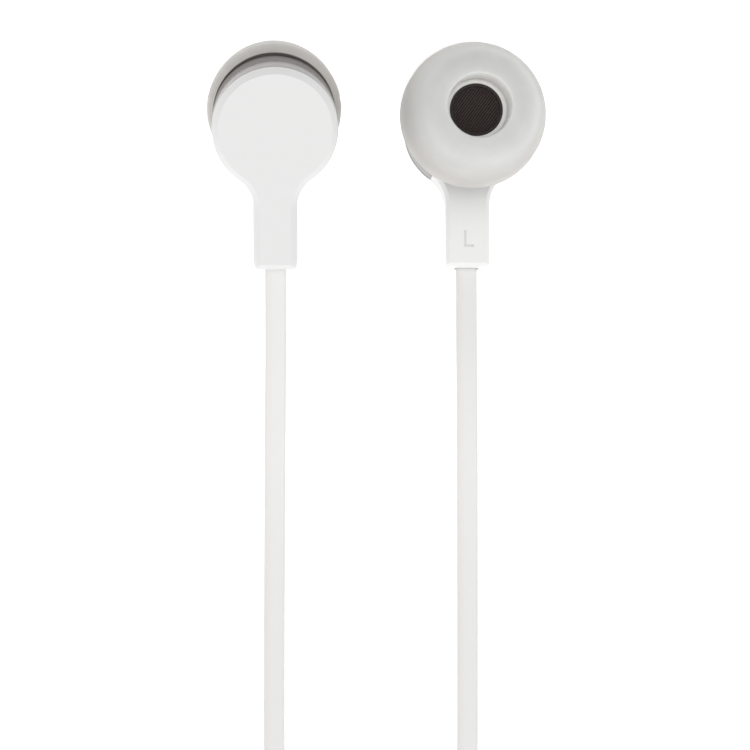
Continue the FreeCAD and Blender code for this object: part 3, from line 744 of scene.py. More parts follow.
# %% Casing outlines
DISC_R = 5.45
STEM_W = 3.65
STEM_STEP = 0.10
STEM_THICK = 3.2
STEM_CORNER = 0.35
NECK_R = 3.2
FACE_EDGE = 0.5
INNER_EDGE = 0.35
EDGE_SLOPE = math.radians(38)
FACE_RING = 0.12
BAND_START = 0.62
BAND_END = 3.38
BAND_WALL = 0.45
BAND_OUT = DISC_R - 0.03
BAND_IN = BAND_OUT - BAND_WALL
COLLAR_OUT = BAND_IN - 0.02
COLLAR_IN = COLLAR_OUT - 0.43
NECK_HALF = 3.1
FACE_WALL = 0.8


def paddle_ring(half_width, pull, height):
    """Outline of the paddle, pulled in by an amount, as a ring of points."""
    disc, neck = DISC_R - pull, NECK_R + pull
    side = half_width + NECK_R
    neck_y = -math.sqrt((DISC_R + NECK_R) ** 2 - side ** 2)
    meet = Vector((side, neck_y)).normalized()
    start = math.atan2(meet.y, meet.x)
    corner = max(STEM_CORNER - pull, 0.05)
    edge, low = half_width - pull, -STEM_END + pull
    half = []
    for step in range(73):
        t = math.pi / 2 + (start - math.pi / 2) * step / 72
        half.append((disc * math.cos(t), disc * math.sin(t)))
    back = math.atan2(-meet.y, -meet.x)
    for step in range(1, 19):
        t = back + (math.pi - back) * step / 18
        half.append((side + neck * math.cos(t), neck_y + neck * math.sin(t)))
    for step in range(1, 7):
        half.append((edge, neck_y + (low + corner - neck_y) * step / 6))
    for step in range(1, 7):
        t = -math.pi / 2 * step / 6
        half.append((edge - corner + corner * math.cos(t), low + corner + corner * math.sin(t)))
    other = [(-x, y) for x, y in half[1:]][::-1]
    return [(x, y, height) for x, y in half + other]


def paddle(half_width, edge_height, other_height, edge, other_edge=0.06):
    """Solid paddle between two heights. Its edge at the first height slopes, then turns down."""
    way = 1 if other_height > edge_height else -1
    slope_end, slope_drop = 0.35 * edge, 0.65 * edge * math.tan(EDGE_SLOPE)
    corner_drop = slope_drop + slope_end * math.tan(EDGE_SLOPE)
    rings = [paddle_ring(half_width, edge + inset, edge_height) for inset in (FACE_RING, 0)]
    for step in range(7):
        t = step / 6
        pull = slope_end * (1 - t) ** 2
        drop = slope_drop * (1 - t) ** 2 + 2 * corner_drop * t * (1 - t) + edge * t ** 2
        rings.append(paddle_ring(half_width, pull, edge_height + way * drop))
    for step in range(4):
        t = math.radians(90 * step / 3)
        rings.append(paddle_ring(half_width, other_edge * (1 - math.cos(t)),
                                 other_height - way * other_edge * (1 - math.sin(t))))
    return loft(rings)


def tool_piece(mesh):
    return finished(mesh, "tool")


def box_mesh(x0, x1, y0, y1, z0, z1):
    mesh = bmesh.new()
    middle_point = Matrix.Translation(((x0 + x1) / 2, (y0 + y1) / 2, (z0 + z1) / 2))
    size = Matrix.Diagonal((x1 - x0, y1 - y0, z1 - z0, 1))
    bmesh.ops.create_cube(mesh, size=1, matrix=middle_point @ size)
    return mesh


def neck_tool():
    return tool_piece(box_mesh(-NECK_HALF, NECK_HALF, -STEM_END - 1, -DISC_R * 0.55, -1, STEM_THICK + 2))


print("outline of the paddle has", len(paddle_ring(STEM_W / 2, 0, 0)), "points")

# %% [markdown]
# ### Outer and inner halves
# The outer half carries the flat face, with a step all round for the polished band. The inner half is
# only the stem and neck plus a round collar that the band and the driver sit on. Cuts are made with
# the exact boolean, which keeps the rounded edges. The side letter is cut a little way into the stem.

# %% Casing halves
def ring_tool(outer, inner, low, high):
    return tool_piece(lathe([(inner, low), (outer, low), (outer, high), (inner, high)], 144))


CHANNEL_HALF = 1.1
SLOT_ROOM = 0.1


def hollow(piece, low, high):
    """Wire channel and cord slot in the stem."""
    start = CORD_GRIP - STEM_END
    carve(piece, tool_piece(box_mesh(-CHANNEL_HALF, CHANNEL_HALF, start, 0.4 - COLLAR_IN, low, high)))
    half_w, half_t = CORD_W / MM / 2 + SLOT_ROOM, CORD_T / MM / 2 + SLOT_ROOM
    slot = box_mesh(-half_w, half_w, -STEM_END - 1, start + 0.01, SEAM - half_t, SEAM + half_t)
    return carve(piece, tool_piece(slot))


def outer_half(side):
    piece = finished(paddle(STEM_W / 2, 0.0, SEAM - 0.01, FACE_EDGE), side + "_face_and_stem")
    carve(piece, carve(ring_tool(DISC_R + 2, COLLAR_OUT, BAND_START - 0.02, SEAM + 1), neck_tool()))
    room = [(0, FACE_WALL), (COLLAR_IN, FACE_WALL), (COLLAR_IN, SEAM + 1), (0, SEAM + 1)]
    carve(piece, tool_piece(lathe(room)))
    return laid(hollow(piece, FACE_WALL, SEAM + 1), FRAMES[side])


LETTER_X, LETTER_Y = -0.34, -10.70
LETTER_H = 1.42
LETTER_PEN = 0.19
LETTER_DEPTH = 0.15
FOOT = 0.84
ARM = 0.36
BOWL_X, BOWL_R = 0.34, 0.40
LEG_X, LEG_H, LEG_TURN = 0.55, 0.76, 24


def letter_strokes(side):
    """Strokes of the side letter as (x, y, width, height, turn in degrees)."""
    pen = LETTER_PEN
    strokes = [(0, 0, pen, LETTER_H, 0)]
    if side == "left":
        strokes.append((0, 0, FOOT, pen, 0))
    else:
        strokes += [(0, LETTER_H - pen, ARM, pen, 0), (0, LETTER_H - BOWL_R * 2, ARM, pen, 0),
                    (LEG_X, 0, pen, LEG_H, LEG_TURN)]
    return strokes


def bowl_ring(radius, height):
    """D-shaped outline round the bowl of the letter R."""
    return [(BOWL_X + radius * math.cos(t), LETTER_H - BOWL_R + radius * math.sin(t), height)
            for t in (math.radians(-90 + 15 * step) for step in range(13))]


def bowl_tool(low, high):
    """Half ring, lofted from C-shaped rings, that cuts the bowl of the letter R."""
    rings = []
    for height in (low, high):
        outer = bowl_ring(BOWL_R, height)
        rings.append(outer + bowl_ring(BOWL_R - LETTER_PEN, height)[::-1])
    mesh = loft(rings, closed=False)
    count = len(rings[0])
    mesh.verts.ensure_lookup_table()
    for row in (0, count):
        for i in range(count // 2 - 1):
            mesh.faces.new([mesh.verts[row + k] for k in (i, i + 1, count - 2 - i, count - 1 - i)])
    return mesh


def cut_letter(piece, side):
    bottom, top = STEM_THICK - LETTER_DEPTH, STEM_THICK + 1
    for x, y, width, height, turn in letter_strokes(side):
        stroke = box_mesh(0, width, 0, height, bottom, top)
        move = Matrix.Translation((LETTER_X + x, LETTER_Y + y, 0))
        spin = Matrix.Rotation(math.radians(turn), 4, "Z")
        bmesh.ops.transform(stroke, matrix=move @ spin, verts=stroke.verts)
        carve(piece, tool_piece(stroke))
    if side == "right":
        bowl = bowl_tool(bottom, top)
        bmesh.ops.translate(bowl, vec=(LETTER_X, LETTER_Y, 0), verts=bowl.verts)
        carve(piece, tool_piece(bowl))
    return piece


def inner_half(side):
    half = STEM_W / 2 + STEM_STEP
    piece = finished(paddle(half, STEM_THICK, SEAM + 0.01, INNER_EDGE), side + "_stem_and_collar")
    carve(piece, neck_tool(), "INTERSECT")
    collar = [(0, SEAM + 0.01), (COLLAR_OUT, SEAM + 0.01), (COLLAR_OUT, BAND_END), (0, BAND_END)]
    carve(piece, tool_piece(lathe(rounded_profile(collar, 0.05))), "UNION")
    bore = [(0, SEAM - 1), (COLLAR_IN, SEAM - 1), (COLLAR_IN, BAND_END + 1), (0, BAND_END + 1)]
    carve(piece, tool_piece(lathe(bore)))
    hollow(piece, SEAM - 1, 2.4)
    return laid(cut_letter(piece, side), FRAMES[side])


for side in FRAMES:
    settle(outer_half(side), "earphones", "white_casing", side + "_outer_shell")
    # the inner half takes the lighter copy of the casing finish, painted light for the shade on the stem
    settle(inner_half(side), "earphones", "white_casing", side + "_inner_shell", "white_inner_casing")
print("casing halves made")

# %% [markdown]
# ## Turned pieces
# Band, barrel, nozzle and grille rim are turned parts, so each is one profile in the lathe. The band
# is open where the stem comes out: it stops at the angle where its edge meets the neck.

# %% Band, barrel, nozzle and grille rim
BARREL_R = DISC_R - 0.12
BARREL_END = 5.9
NOZZLE_RISE = 0.25
NOZZLE_END = 11.0
SEAT_DEPTH = 0.45


def band_piece(side):
    gap = math.degrees(math.asin((NECK_HALF + 0.02) / BAND_OUT))
    profile = rounded_profile([(BAND_IN, BAND_START), (BAND_OUT, BAND_START), (BAND_OUT, BAND_END),
                               (BAND_IN, BAND_END)], 0.09, 4)
    mesh = lathe(profile, 160, -90 + gap, 360 - 2 * gap)
    return finished(mesh, side + "_polished_band", FRAMES[side])


def barrel_piece(side):
    top, r, edge = BARREL_END, BARREL_R, 0.08
    lip_low, lip_out, lip_in, start = 3.1, COLLAR_IN - 0.02, COLLAR_IN - 0.44, BAND_END + 0.02
    port, wall_in, floor, step_in = 2.02, r - 0.6, 0.6, r - 1.0
    profile = [(lip_in, lip_low), (lip_out, lip_low), (lip_out, start), (r, start), (r, top - edge)]
    profile += arc((r, top - edge), (r - 0.3 * edge, top - 0.3 * edge), (r - edge, top), 4)
    profile += [(port, top), (port, top - floor), (step_in, top - floor), (wall_in, top - 1.0),
                (wall_in, start + 0.6), (lip_in, start + 0.1)]
    return finished(lathe(rounded_profile(profile, 0.05, 2)), side + "_acoustic_barrel", FRAMES[side])


def nozzle_piece(side):
    back, front = BARREL_END, NOZZLE_END
    bore, plug, foot, tube, lip, seat = 1.5, 1.9, 3.5, 2.5, 2.75, 2.3
    profile = [(bore, back - 0.5), (plug, back - 0.5), (plug, back), (foot, back), (foot, back + 0.25)]
    profile += arc((foot, back + 0.25), (2.8, back + 0.45), (tube, back + 0.95), 8)
    profile += [(tube, front - 1.3), (lip, front - 1.05), (lip, front - 0.65), (lip - 0.04, front),
                (seat, front), (seat, front - SEAT_DEPTH), (plug, front - SEAT_DEPTH), (plug, back + 0.5),
                (bore, back + 0.1)]
    mesh = lathe(rounded_profile(profile, 0.07), 128, shift=(0, NOZZLE_RISE))
    return finished(mesh, side + "_sound_nozzle", FRAMES[side])


def grille_rim_piece(side):
    low, high, inner, outer = NOZZLE_END - SEAT_DEPTH, NOZZLE_END - 0.05, 2.05, 2.28
    profile = rounded_profile([(inner, low), (outer, low), (outer, high), (inner, high)], 0.08, 4)
    return finished(lathe(profile, 96, shift=(0, NOZZLE_RISE)), side + "_grille_rim", FRAMES[side])


TURNED = [(band_piece, "polished_band", "trim_band"), (barrel_piece, "barrel_metal", "barrel"),
          (nozzle_piece, "nozzle_plastic", "nozzle"), (grille_rim_piece, "grille_rim", "grille_ring")]
for side in FRAMES:
    for make, slot, node in TURNED:
        settle(make(side), "earphones", slot, side + "_" + node)
print("turned pieces made")

# %% [markdown]
# ## Ear tips
# A silicone tip is a mushroom: a sleeve over the nozzle and a thin domed skirt that folds back over
# it, with a rolled rim. Its profile is drawn with arcs. Moulding leaves tiny nicks of flash on the
# rim, so a few columns of the lathe are pushed in there by a few hundredths of a millimetre.

# %% Ear tips
TIP_R = {"right": 5.82, "left": 6.26}   # the tip under the weight of its earbud is pressed in a little
TIP_LEAN = {"right": (0.0, 0.0), "left": (0.15, 0.10)}   # how far the soft mouth leans sideways
TIP_FRONT = 12.95
TIP_REAR = 6.0
TIP_WIDE = 7.7
NICKS = {"right": (38, 62, 171), "left": (131, 217, 329)}
NICK_DEPTH = 0.07
NICK_WIDTH = 1.6              # degrees


def tip_profile(wide):
    front, rear = TIP_FRONT, TIP_REAR
    mouth, face, shoulder = 2.65, 3.95, 4.95
    sleeve, bore = 3.25, 2.80
    inside = wide - 0.55
    points = [(mouth + 0.08, front - 0.22)]
    points += arc(points[-1], (mouth + 0.14, front - 0.06), (mouth + 0.3, front), 5)
    points += [(face - 0.06, front - 0.13), (face + 0.06, front - 0.17)]
    points += arc(points[-1], (face + 0.55, front - 0.40), (shoulder, front - 0.78), 6)
    points += arc(points[-1], (wide - 0.43, front - 2.30), (wide, TIP_WIDE), 22)
    points += arc(points[-1], (wide - 0.1, rear + 0.55), (wide - 0.45, rear), 9)
    points += [(5.02, rear + 0.02), (4.95, rear + 0.12), (5.0, rear + 0.45), (5.25, rear + 0.9),
               (inside, TIP_WIDE)]
    points += arc(points[-1], (inside - 0.75, front - 2.55), (sleeve + 0.35, front - 1.45), 12)
    points += [(sleeve, front - 1.6), (sleeve, 6.83), (sleeve - 0.08, 6.75), (bore + 0.08, 6.75),
               (bore, 6.83), (bore, NOZZLE_END + 0.1), (mouth, NOZZLE_END + 0.15)]
    return points


print("tip profile has", len(tip_profile(TIP_R["left"])), "points")

# %% [markdown]
# ### Frosted silicone
# Silicone is translucent: light goes in, scatters and comes out softer. Subsurface scattering over
# about a millimetre does that, and a matt roughness gives the frosted skin. The dome keeps the plain
# tone. The skirt has painted shade that darkens it towards the rim, and the rim has a dark painted
# shadow where it lies on the barrel. The inside of the tip is painted lighter: painted light that
# stands in for light coming through the silicone. The UV map knows how far along the profile each
# point is, so it carries those tones, and a faint cloudiness keeps the skin from looking like paint.

# %% Silicone
SILICONE = (0.635, 0.64, 0.625)
# skirt: painted shade, the thin skirt's tone darkened for the shade it takes
SILICONE_SKIRT_PAINTED_SHADE = (0.50, 0.485, 0.46)
# rim: a dark painted shadow where the rim lies on the barrel
SILICONE_RIM_PAINTED_SHADOW = (0.11, 0.10, 0.095)
# inside: painted light, the inner surfaces made lighter for light that comes through the silicone
SILICONE_INSIDE_PAINTED_LIGHT = (0.84, 0.83, 0.80)
# width of the rim's painted shadow along the profile
PAINTED_RIM_SHADOW_WIDTH = 0.55


def along_profile(profile, index):
    """Distance along a profile to one of its points, which is that point's V in the UV map."""
    return sum((Vector(b) - Vector(a)).length for a, b in zip(profile[:index], profile[1:index + 1]))


def silicone_finish():
    profile = tip_profile(TIP_R["left"])
    rim = along_profile(profile, min(range(len(profile)), key=lambda k: profile[k][1]))
    material, shader = start_finish("ear_tip_silicone", SILICONE, 0.46, Subsurface_Weight=0.9,
                                    Subsurface_Radius=(1.0, 0.95, 0.85), Subsurface_Scale=0.0013,
                                    IOR=1.41)
    tree = material.node_tree
    along = along_axis(tree, coordinates(material, "UV"), "Y")
    share = add_node(tree, "ShaderNodeMapRange", {"Value": along, "From Max": rim + 1.0})
    # the ramp paints the tip: plain dome, painted shade down the skirt, painted shadow on the rim, painted light
    # inside
    lip, inside = (rim - 0.12) / (rim + 1.0), (rim + PAINTED_RIM_SHADOW_WIDTH) / (rim + 1.0)
    tone = ramp(material, share.outputs["Result"],
                [(0.25, SILICONE), (0.52, SILICONE_SKIRT_PAINTED_SHADE), (lip - 0.005, SILICONE_SKIRT_PAINTED_SHADE),
                 (lip, SILICONE_RIM_PAINTED_SHADOW), (inside, SILICONE_RIM_PAINTED_SHADOW), (inside + 0.02, SILICONE_INSIDE_PAINTED_LIGHT)])
    cloud = ramp(material, noise(material, coordinates(material), 1 / 0.0016),
                 [(0.3, (0.96, 0.96, 0.97)), (0.7, (1.0, 1.0, 1.0))])
    tree.links.new(multiply(material, tone, cloud), shader.inputs["Base Color"])
    grain = noise(material, coordinates(material), 1 / 0.0003)
    tree.links.new(spread(material, grain, 0.42, 0.52), shader.inputs["Roughness"])
    bump(material, shader, grain, 0.1, 0.00002)
    return material


FINISHES["ear_tip_silicone"] = silicone_finish()
print("silicone ready")

# %% [markdown]
# ### Nicks and lean
# The nicks and the lean are small moves of the turned mesh's points.

# %% Ear tip pieces
def tip_piece(side):
    mesh = lathe(tip_profile(TIP_R[side]), 192, shift=(0, NOZZLE_RISE))
    for vertex in mesh.verts:
        x, y = vertex.co.x, vertex.co.y - NOZZLE_RISE
        radius, angle = math.hypot(x, y), math.degrees(math.atan2(y, x)) % 360
        near_rim = 1 - min(1.0, abs(vertex.co.z - TIP_WIDE + 0.2) / 1.1)
        if radius < TIP_R[side] - 0.5 or near_rim <= 0:
            continue
        dent = sum(NICK_DEPTH * math.exp(-((angle - nick) / NICK_WIDTH) ** 2) for nick in NICKS[side])
        factor = 1 - dent * near_rim / radius
        vertex.co.x, vertex.co.y = x * factor, y * factor + NOZZLE_RISE
    for vertex in mesh.verts:
        lean = ease(vertex.co.z, NOZZLE_END + 0.15, NOZZLE_END + 1.2)
        vertex.co.x += TIP_LEAN[side][0] * lean
        vertex.co.y += TIP_LEAN[side][1] * lean
    return finished(mesh, side + "_silicone_tip", FRAMES[side], 50)


for side in FRAMES:
    settle(tip_piece(side), side + "_tip", "ear_tip_silicone", side + "_ear_tip")
print("ear tips made")

# %% [markdown]
# ## Woven grille
# The grille over the nozzle is a fine woven cloth of metal thread. Two sets of threads cross, and each
# thread goes over one and under the next. Modelling one thread and repeating it is what Geometry
# Nodes are for: a resampled line is copied, every copy is bent into a wave that is half a step out of
# phase with its neighbour, points outside the round frame are deleted, and the rest becomes tubes.

# %% Woven grille by Geometry Nodes
WARP = (0.54, 0.05)           # thickness and sway, as shares of the thread's size
WEFT = (0.2, 0.5)


def weave_tree():
    tree = bpy.data.node_groups.new("woven_grille", "GeometryNodeTree")
    face = tree.interface
    face.new_socket("Geometry", in_out="OUTPUT", socket_type="NodeSocketGeometry")
    for label, kind in (("Pitch", "Float"), ("Thread", "Float"), ("Radius", "Float"), ("Turn", "Float"),
                        ("Threads", "Int"), ("Finish", "Material")):
        face.new_socket(label, in_out="INPUT", socket_type="NodeSocket" + kind)
    link = tree.links.new
    given = tree.nodes.new("NodeGroupInput").outputs

    def make(kind, values=None):
        return add_node(tree, kind, values)

    def maths(operation, a, b=0.0):
        node = make("ShaderNodeMath", {0: a, 1: b})
        node.operation = operation
        return node.outputs[0]

    def combine(x, y, z):
        return make("ShaderNodeCombineXYZ", {0: x, 1: y, 2: z}).outputs[0]

    def threads(phase, turn, thick, sway):
        """One set of parallel waved threads. thick and sway are shares of the thread's size."""
        radius, pitch, thread, count = (given[label] for label in ("Radius", "Pitch", "Thread", "Threads"))
        line = make("GeometryNodeCurvePrimitiveLine",
                    {"Start": combine(maths("MULTIPLY", radius, -1), 0, 0), "End": combine(radius, 0, 0)})
        fine = make("GeometryNodeResampleCurve",
                    {"Curve": line.outputs[0], "Count": maths("MULTIPLY", count, 4)})
        copies = make("GeometryNodeDuplicateElements")
        copies.domain = "SPLINE"
        link(fine.outputs[0], copies.inputs["Geometry"])
        link(count, copies.inputs["Amount"])
        number = copies.outputs["Duplicate Index"]
        middle_index = maths("MULTIPLY", maths("SUBTRACT", count, 1), 0.5)
        shift = maths("MULTIPLY", maths("SUBTRACT", number, middle_index), pitch)
        along = along_axis(tree, make("GeometryNodeInputPosition").outputs[0], "X")
        steps = maths("ADD", maths("DIVIDE", along, pitch), maths("ADD", number, phase))
        wave = maths("MULTIPLY", maths("SINE", maths("MULTIPLY", steps, math.pi)),
                     maths("MULTIPLY", thread, sway))
        bend = make("GeometryNodeSetPosition",
                    {"Geometry": copies.outputs["Geometry"], "Offset": combine(0, shift, wave)})
        length = make("ShaderNodeVectorMath", {0: make("GeometryNodeInputPosition").outputs[0]})
        length.operation = "LENGTH"
        trim = make("GeometryNodeDeleteGeometry")
        trim.domain = "POINT"
        link(bend.outputs[0], trim.inputs["Geometry"])
        link(maths("GREATER_THAN", length.outputs["Value"], radius), trim.inputs["Selection"])
        section = make("GeometryNodeCurvePrimitiveCircle",
                       {"Resolution": 5, "Radius": maths("MULTIPLY", thread, thick)})
        tubes = make("GeometryNodeCurveToMesh", {"Curve": trim.outputs[0], "Fill Caps": True,
                                                 "Profile Curve": section.outputs[0]})
        spin = make("GeometryNodeTransform",
                    {"Geometry": tubes.outputs[0], "Rotation": combine(0, 0, turn)})
        return spin.outputs[0]

    join = make("GeometryNodeJoinGeometry")
    link(threads(0.0, given["Turn"], *WARP), join.inputs[0])
    link(threads(1.0, maths("ADD", given["Turn"], math.pi / 2), *WEFT), join.inputs[0])
    real = make("GeometryNodeRealizeInstances", {0: join.outputs[0]})
    smooth = make("GeometryNodeSetShadeSmooth", {"Geometry": real.outputs[0]})
    paint = make("GeometryNodeSetMaterial", {"Geometry": smooth.outputs[0], "Material": given["Finish"]})
    link(paint.outputs[0], make("NodeGroupOutput").inputs[0])
    return tree


def apply_tree(tree, name, values):
    """Plain mesh object made by a node tree with the given named inputs."""
    holder = new_object(name, bpy.data.meshes.new(name))
    change = holder.modifiers.new("nodes", "NODES")
    change.node_group = tree
    for item in tree.interface.items_tree:
        if item.in_out == "INPUT":
            change[item.identifier] = values[item.name]
    bake(holder)
    return holder


GRILLE_R = 2.16
GRILLE_LOW = NOZZLE_END - 0.33
WEAVE = weave_tree()
for side, place in FRAMES.items():
    cloth = apply_tree(WEAVE, side + "_woven_grille",
                       {"Pitch": 0.205, "Thread": 0.19, "Radius": GRILLE_R, "Turn": math.radians(54.8),
                        "Threads": 22, "Finish": FINISHES["grille_mesh"]})
    cloth.data.transform(place @ Matrix.Translation((0, NOZZLE_RISE, GRILLE_LOW)))
    settle(cloth, "earphones", "grille_mesh", side + "_grille")
print("grille has", len(cloth.data.polygons), "faces")

# %% [markdown]
# ## Control pod
# The pod's shells have their true shape in the frame, so a copy of each mesh is merged and smoothed
# by angle. What a hand touches is modelled here: dished buttons with raised signs, the flap over the
# socket, the lens and the ribbed boots.

# %% Smoothed copies of frame meshes
def smoothed_copy(node, name):
    data = nodes[node].data.copy()
    mesh = bmesh.new()
    mesh.from_mesh(data)
    bmesh.ops.remove_doubles(mesh, verts=mesh.verts, dist=1e-7)
    bmesh.ops.dissolve_limit(mesh, angle_limit=math.radians(0.5), verts=mesh.verts, edges=mesh.edges)
    plain = bpy.data.meshes.new(name)
    mesh.to_mesh(plain)
    mesh.free()
    bpy.data.meshes.remove(data)
    smooth_by_angle(plain, 30)
    return new_object(name, plain)


SLOTS = {row["node"]: row["material_slot"] for row in frame["record"]["subparts"]}
BODY_OF = {name: body for body, names in frame["record"]["behaviour"]["bodies"].items() for name in names}
for node in ("pod_top_shell", "pod_bottom_shell", "pod_charging_socket"):
    settle(smoothed_copy(node, node + "_moulded"), "earphones", SLOTS[node], node)
print("pod shells and socket made")

# %% [markdown]
# ### Buttons
# Each button is one loft: post, flange, cap side, rounded rim and a shallow dish. Signs for louder,
# softer and play are small raised bars and a dot, which a finger can read.

# %% Buttons
BUTTON_W, BUTTON_L, BUTTON_CORNER = 4.84, 6.04, 1.52
FLANGE, FLANGE_TOP, FLANGE_T = 0.58, 5.97, 0.5
POST_W, POST_CORNER = 1.3, 0.6
CAP_EDGE = 0.3
DISH, DISH_BORDER = 0.14, 0.35
SIGNS = {"volume_up_button": ((1.9, 0.34), (0.34, 1.9)), "volume_down_button": ((1.9, 0.34),),
         "multifunction_button": ((0.9, 0.9),)}


def button_piece(node):
    low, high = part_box(node)
    centre = (low + high) / 2
    top, bottom = high.z / MM, low.z / MM
    post = (POST_W, POST_W, POST_CORNER)
    wide = (BUTTON_W + 2 * FLANGE, BUTTON_L + 2 * FLANGE, BUTTON_CORNER + FLANGE)
    rings = [rounded_box_ring(*post, bottom), rounded_box_ring(*post, FLANGE_TOP - FLANGE_T),
             rounded_box_ring(*wide, FLANGE_TOP - FLANGE_T), rounded_box_ring(*wide, FLANGE_TOP),
             rounded_box_ring(BUTTON_W, BUTTON_L, BUTTON_CORNER, FLANGE_TOP)]
    for step in range(7):
        t = math.radians(90 * step / 6)
        pull = 2 * CAP_EDGE * (1 - math.cos(t))
        rings.append(rounded_box_ring(BUTTON_W - pull, BUTTON_L - pull, BUTTON_CORNER - pull / 2,
                                      top - CAP_EDGE + CAP_EDGE * math.sin(t)))
    for step in range(1, 7):
        t = step / 6
        scale = 1 - 0.9 * t
        rings.append(rounded_box_ring((BUTTON_W - 2 * DISH_BORDER) * scale,
                                      (BUTTON_L - 2 * DISH_BORDER) * scale,
                                      (BUTTON_CORNER - DISH_BORDER) * scale, top - DISH * ease(t, 0, 1)))
    piece = finished(loft(rings), node + "_cap", UPRIGHT, 40)
    for width, length in SIGNS[node]:
        corner = min(width, length) * 0.45
        sign = loft([rounded_box_ring(width, length, corner, top - DISH - 0.15, 4),
                     rounded_box_ring(width, length, corner, top - 0.06, 4),
                     rounded_box_ring(width - 0.1, length - 0.1, corner - 0.05, top - 0.02, 4)])
        carve(piece, tool_piece(sign), "UNION")
    return laid(piece, Matrix.Translation((centre.x, centre.y, 0)) @ MILLIMETRES)


for node in SIGNS:
    settle(button_piece(node), BODY_OF[node], SLOTS[node], node)
print(len(SIGNS), "buttons made")

# %% [markdown]
# ### Socket flap, lens and boots
# The flap is a thin rubber plate with softened edges. The boots guard the cord where it
# enters the pod: their ribs repeat along the sleeve, so a node tree could place them, but the taper
# also changes their size, and a loft with a wavy profile gives both at once.

# %% Flap, lens and boots
def flap_piece():
    low, high = (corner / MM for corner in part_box("pod_socket_cover"))
    thick = high.x - low.x
    rings = []
    for pull, height in ((0.12, 0.0), (0.03, 0.04), (0.0, 0.12), (0.0, 0.88), (0.03, 0.96), (0.12, 1.0)):
        z = low.z + (high.z - low.z) * height
        width, length = thick - pull, high.y - low.y - pull
        ring = rounded_box_ring(width, length, min(0.27, width / 2 - 0.01), z, 6)
        rings.append([((low.x + high.x) / 2 + x, (low.y + high.y) / 2 + y, h) for x, y, h in ring])
    return finished(loft(rings), "socket_flap", MILLIMETRES)


def lens_piece():
    low, high = (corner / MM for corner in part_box("pod_status_light"))
    x, y = (low.x + high.x) / 2, (low.y + high.y) / 2
    profile = [(0, low.z), (0.5, low.z), (0.5, high.z - 0.12)]
    profile += arc((0.5, high.z - 0.12), (0.3, high.z - 0.04), (0.0001, high.z), 6)[:-1] + [(0, high.z)]
    return finished(lathe(profile, 32, shift=(x, y)), "status_lens", MILLIMETRES)


BOOT_BASE = (3.9, 2.6)        # width and height where the boot meets the pod
BOOT_TIP = (2.7, 1.7)
BOOT_FLANGE = (4.7, 2.7)
BOOT_L = 6.0
BOOT_CORNER = 0.8
BOOT_STEPS = 36
RIBS, RIB = 11, 0.10


def boot_piece(side, tip, toward):
    """Boot whose tip is at a point, with ribs; toward is +1 when the boot points to +Y."""
    rings = [rounded_box_ring(*BOOT_BASE, BOOT_CORNER, 0, 6)]
    for step in range(BOOT_STEPS + 1):
        t = step / BOOT_STEPS
        rib = RIB * max(0.0, math.sin(t * math.pi * RIBS)) if 0.06 < t < 0.92 else 0.0
        width, height = (base + (end - base) * t - 0.16 + 2 * rib for base, end in zip(BOOT_BASE, BOOT_TIP))
        rings.append(rounded_box_ring(width, height, min(0.7, height / 2 - 0.05), BOOT_L * t + 0.001, 6))
    inside = loft([rounded_box_ring(*size, BOOT_CORNER, height, 6)
                   for size, height in ((BOOT_FLANGE, -2.1), (BOOT_FLANGE, -1.3), (BOOT_BASE, -1.3),
                                        (BOOT_BASE, 0.002))])
    turn = Matrix.Rotation(math.radians(-90), 4, "X")
    if toward < 0:
        turn = Matrix.Rotation(math.radians(180), 4, "Z") @ turn
    base = Vector(tip) - Vector((0, BOOT_L * toward, 0))
    piece = finished(loft(rings), side + "_cord_boot", UPRIGHT, 40)
    return laid(carve(piece, tool_piece(inside), "UNION"), MILLIMETRES @ Matrix.Translation(base) @ turn)


settle(flap_piece(), "socket_flap", "soft_insert", "pod_socket_cover")
settle(lens_piece(), "earphones", "status_lens", "pod_status_light")
for side, tip, toward in (("right", BOOT_TIP_RIGHT, 1), ("left", BOOT_TIP_LEFT, -1)):
    settle(boot_piece(side, tip, toward), "earphones", "soft_insert", "pod_boot_" + side)
print("flap, lens and two boots made")

# %% [markdown]
# ## Pieces kept from the frame
# The driver, the wires and the electronics already have their true shape. They only get a finish.

# %% Finishes for the kept pieces
kept = [name for name, piece in nodes.items() if not piece.hide_render]
for name in kept:
    data = nodes[name].data
    data.materials.clear()
    data.materials.append(FINISHES[SLOTS[name]])
print(len(kept), "frame pieces kept:", ", ".join(sorted(kept)))

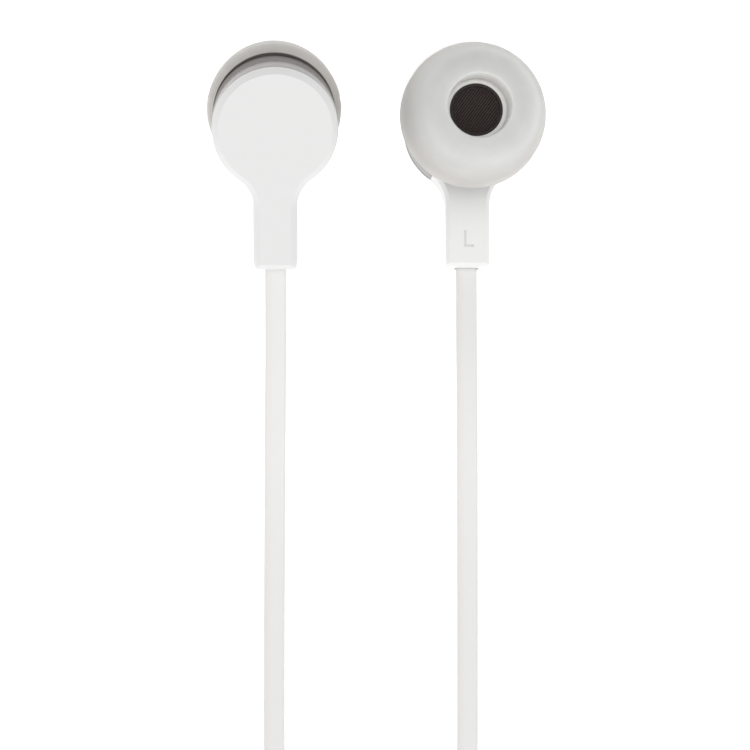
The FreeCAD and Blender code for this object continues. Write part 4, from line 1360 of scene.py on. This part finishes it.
# %% [markdown]
# ## Floor and light
# A white light table and a light tent. The table glows a little, which lightens the shadows. One
# big soft light hangs above and two stand at the sides, and the surround is brighter on the near
# side than on the far side, so round edges show a gentle change of tone.

# %% Floor, lights and surround
def floor_piece():
    mesh = bmesh.new()
    bmesh.ops.create_grid(mesh, x_segments=1, y_segments=1, size=1.5)
    floor = finished(mesh, "floor", Matrix.Translation((0, 0, -0.00002)))
    material, shader = start_finish("floor_white", (0.93, 0.93, 0.93), 0.9, Specular_IOR_Level=0.1)
    grain = noise(material, coordinates(material), 40)
    tone = ramp(material, grain, [(0.3, (0.925, 0.925, 0.925)), (0.7, (0.935, 0.935, 0.935))])
    material.node_tree.links.new(tone, shader.inputs["Base Color"])
    shader.inputs["Emission Color"].default_value = (1, 1, 1, 1)
    shader.inputs["Emission Strength"].default_value = 0.38
    floor.data.materials.append(material)


AIM = (0, -0.03, 0)


def soft_light(name, place, size, power):
    data = bpy.data.lights.new(name, "AREA")
    data.shape = "DISK"
    data.size = size
    data.energy = power
    light = new_object(name, data)
    light.location = place
    light.rotation_euler = (Vector(AIM) - Vector(place)).to_track_quat("-Z", "Y").to_euler()


floor_piece()
soft_light("top_light", (0.0, 0.05, 0.70), 0.8, 1.7)
soft_light("left_light", (-0.48, -0.44, 0.28), 0.35, 0.9)
soft_light("right_light", (0.48, -0.44, 0.28), 0.35, 0.9)


def surround(near, far):
    """Even white surround whose strength falls from the near side, -Y, to the far side."""
    world = bpy.data.worlds.new("surround")
    world.use_nodes = True
    tree = world.node_tree
    place = add_node(tree, "ShaderNodeTexCoord")
    fall = add_node(tree, "ShaderNodeMapRange",
                    {"Value": along_axis(tree, place.outputs["Generated"], "Y"),
                     "From Min": -1.0, "From Max": 1.0, "To Min": near, "To Max": far})
    tree.links.new(fall.outputs["Result"], tree.nodes["Background"].inputs["Strength"])
    tree.nodes["Background"].inputs["Color"].default_value = (1, 1, 1, 1)
    bpy.context.scene.world = world


surround(near=0.78, far=0.52)
print("floor, three lights and a surround")
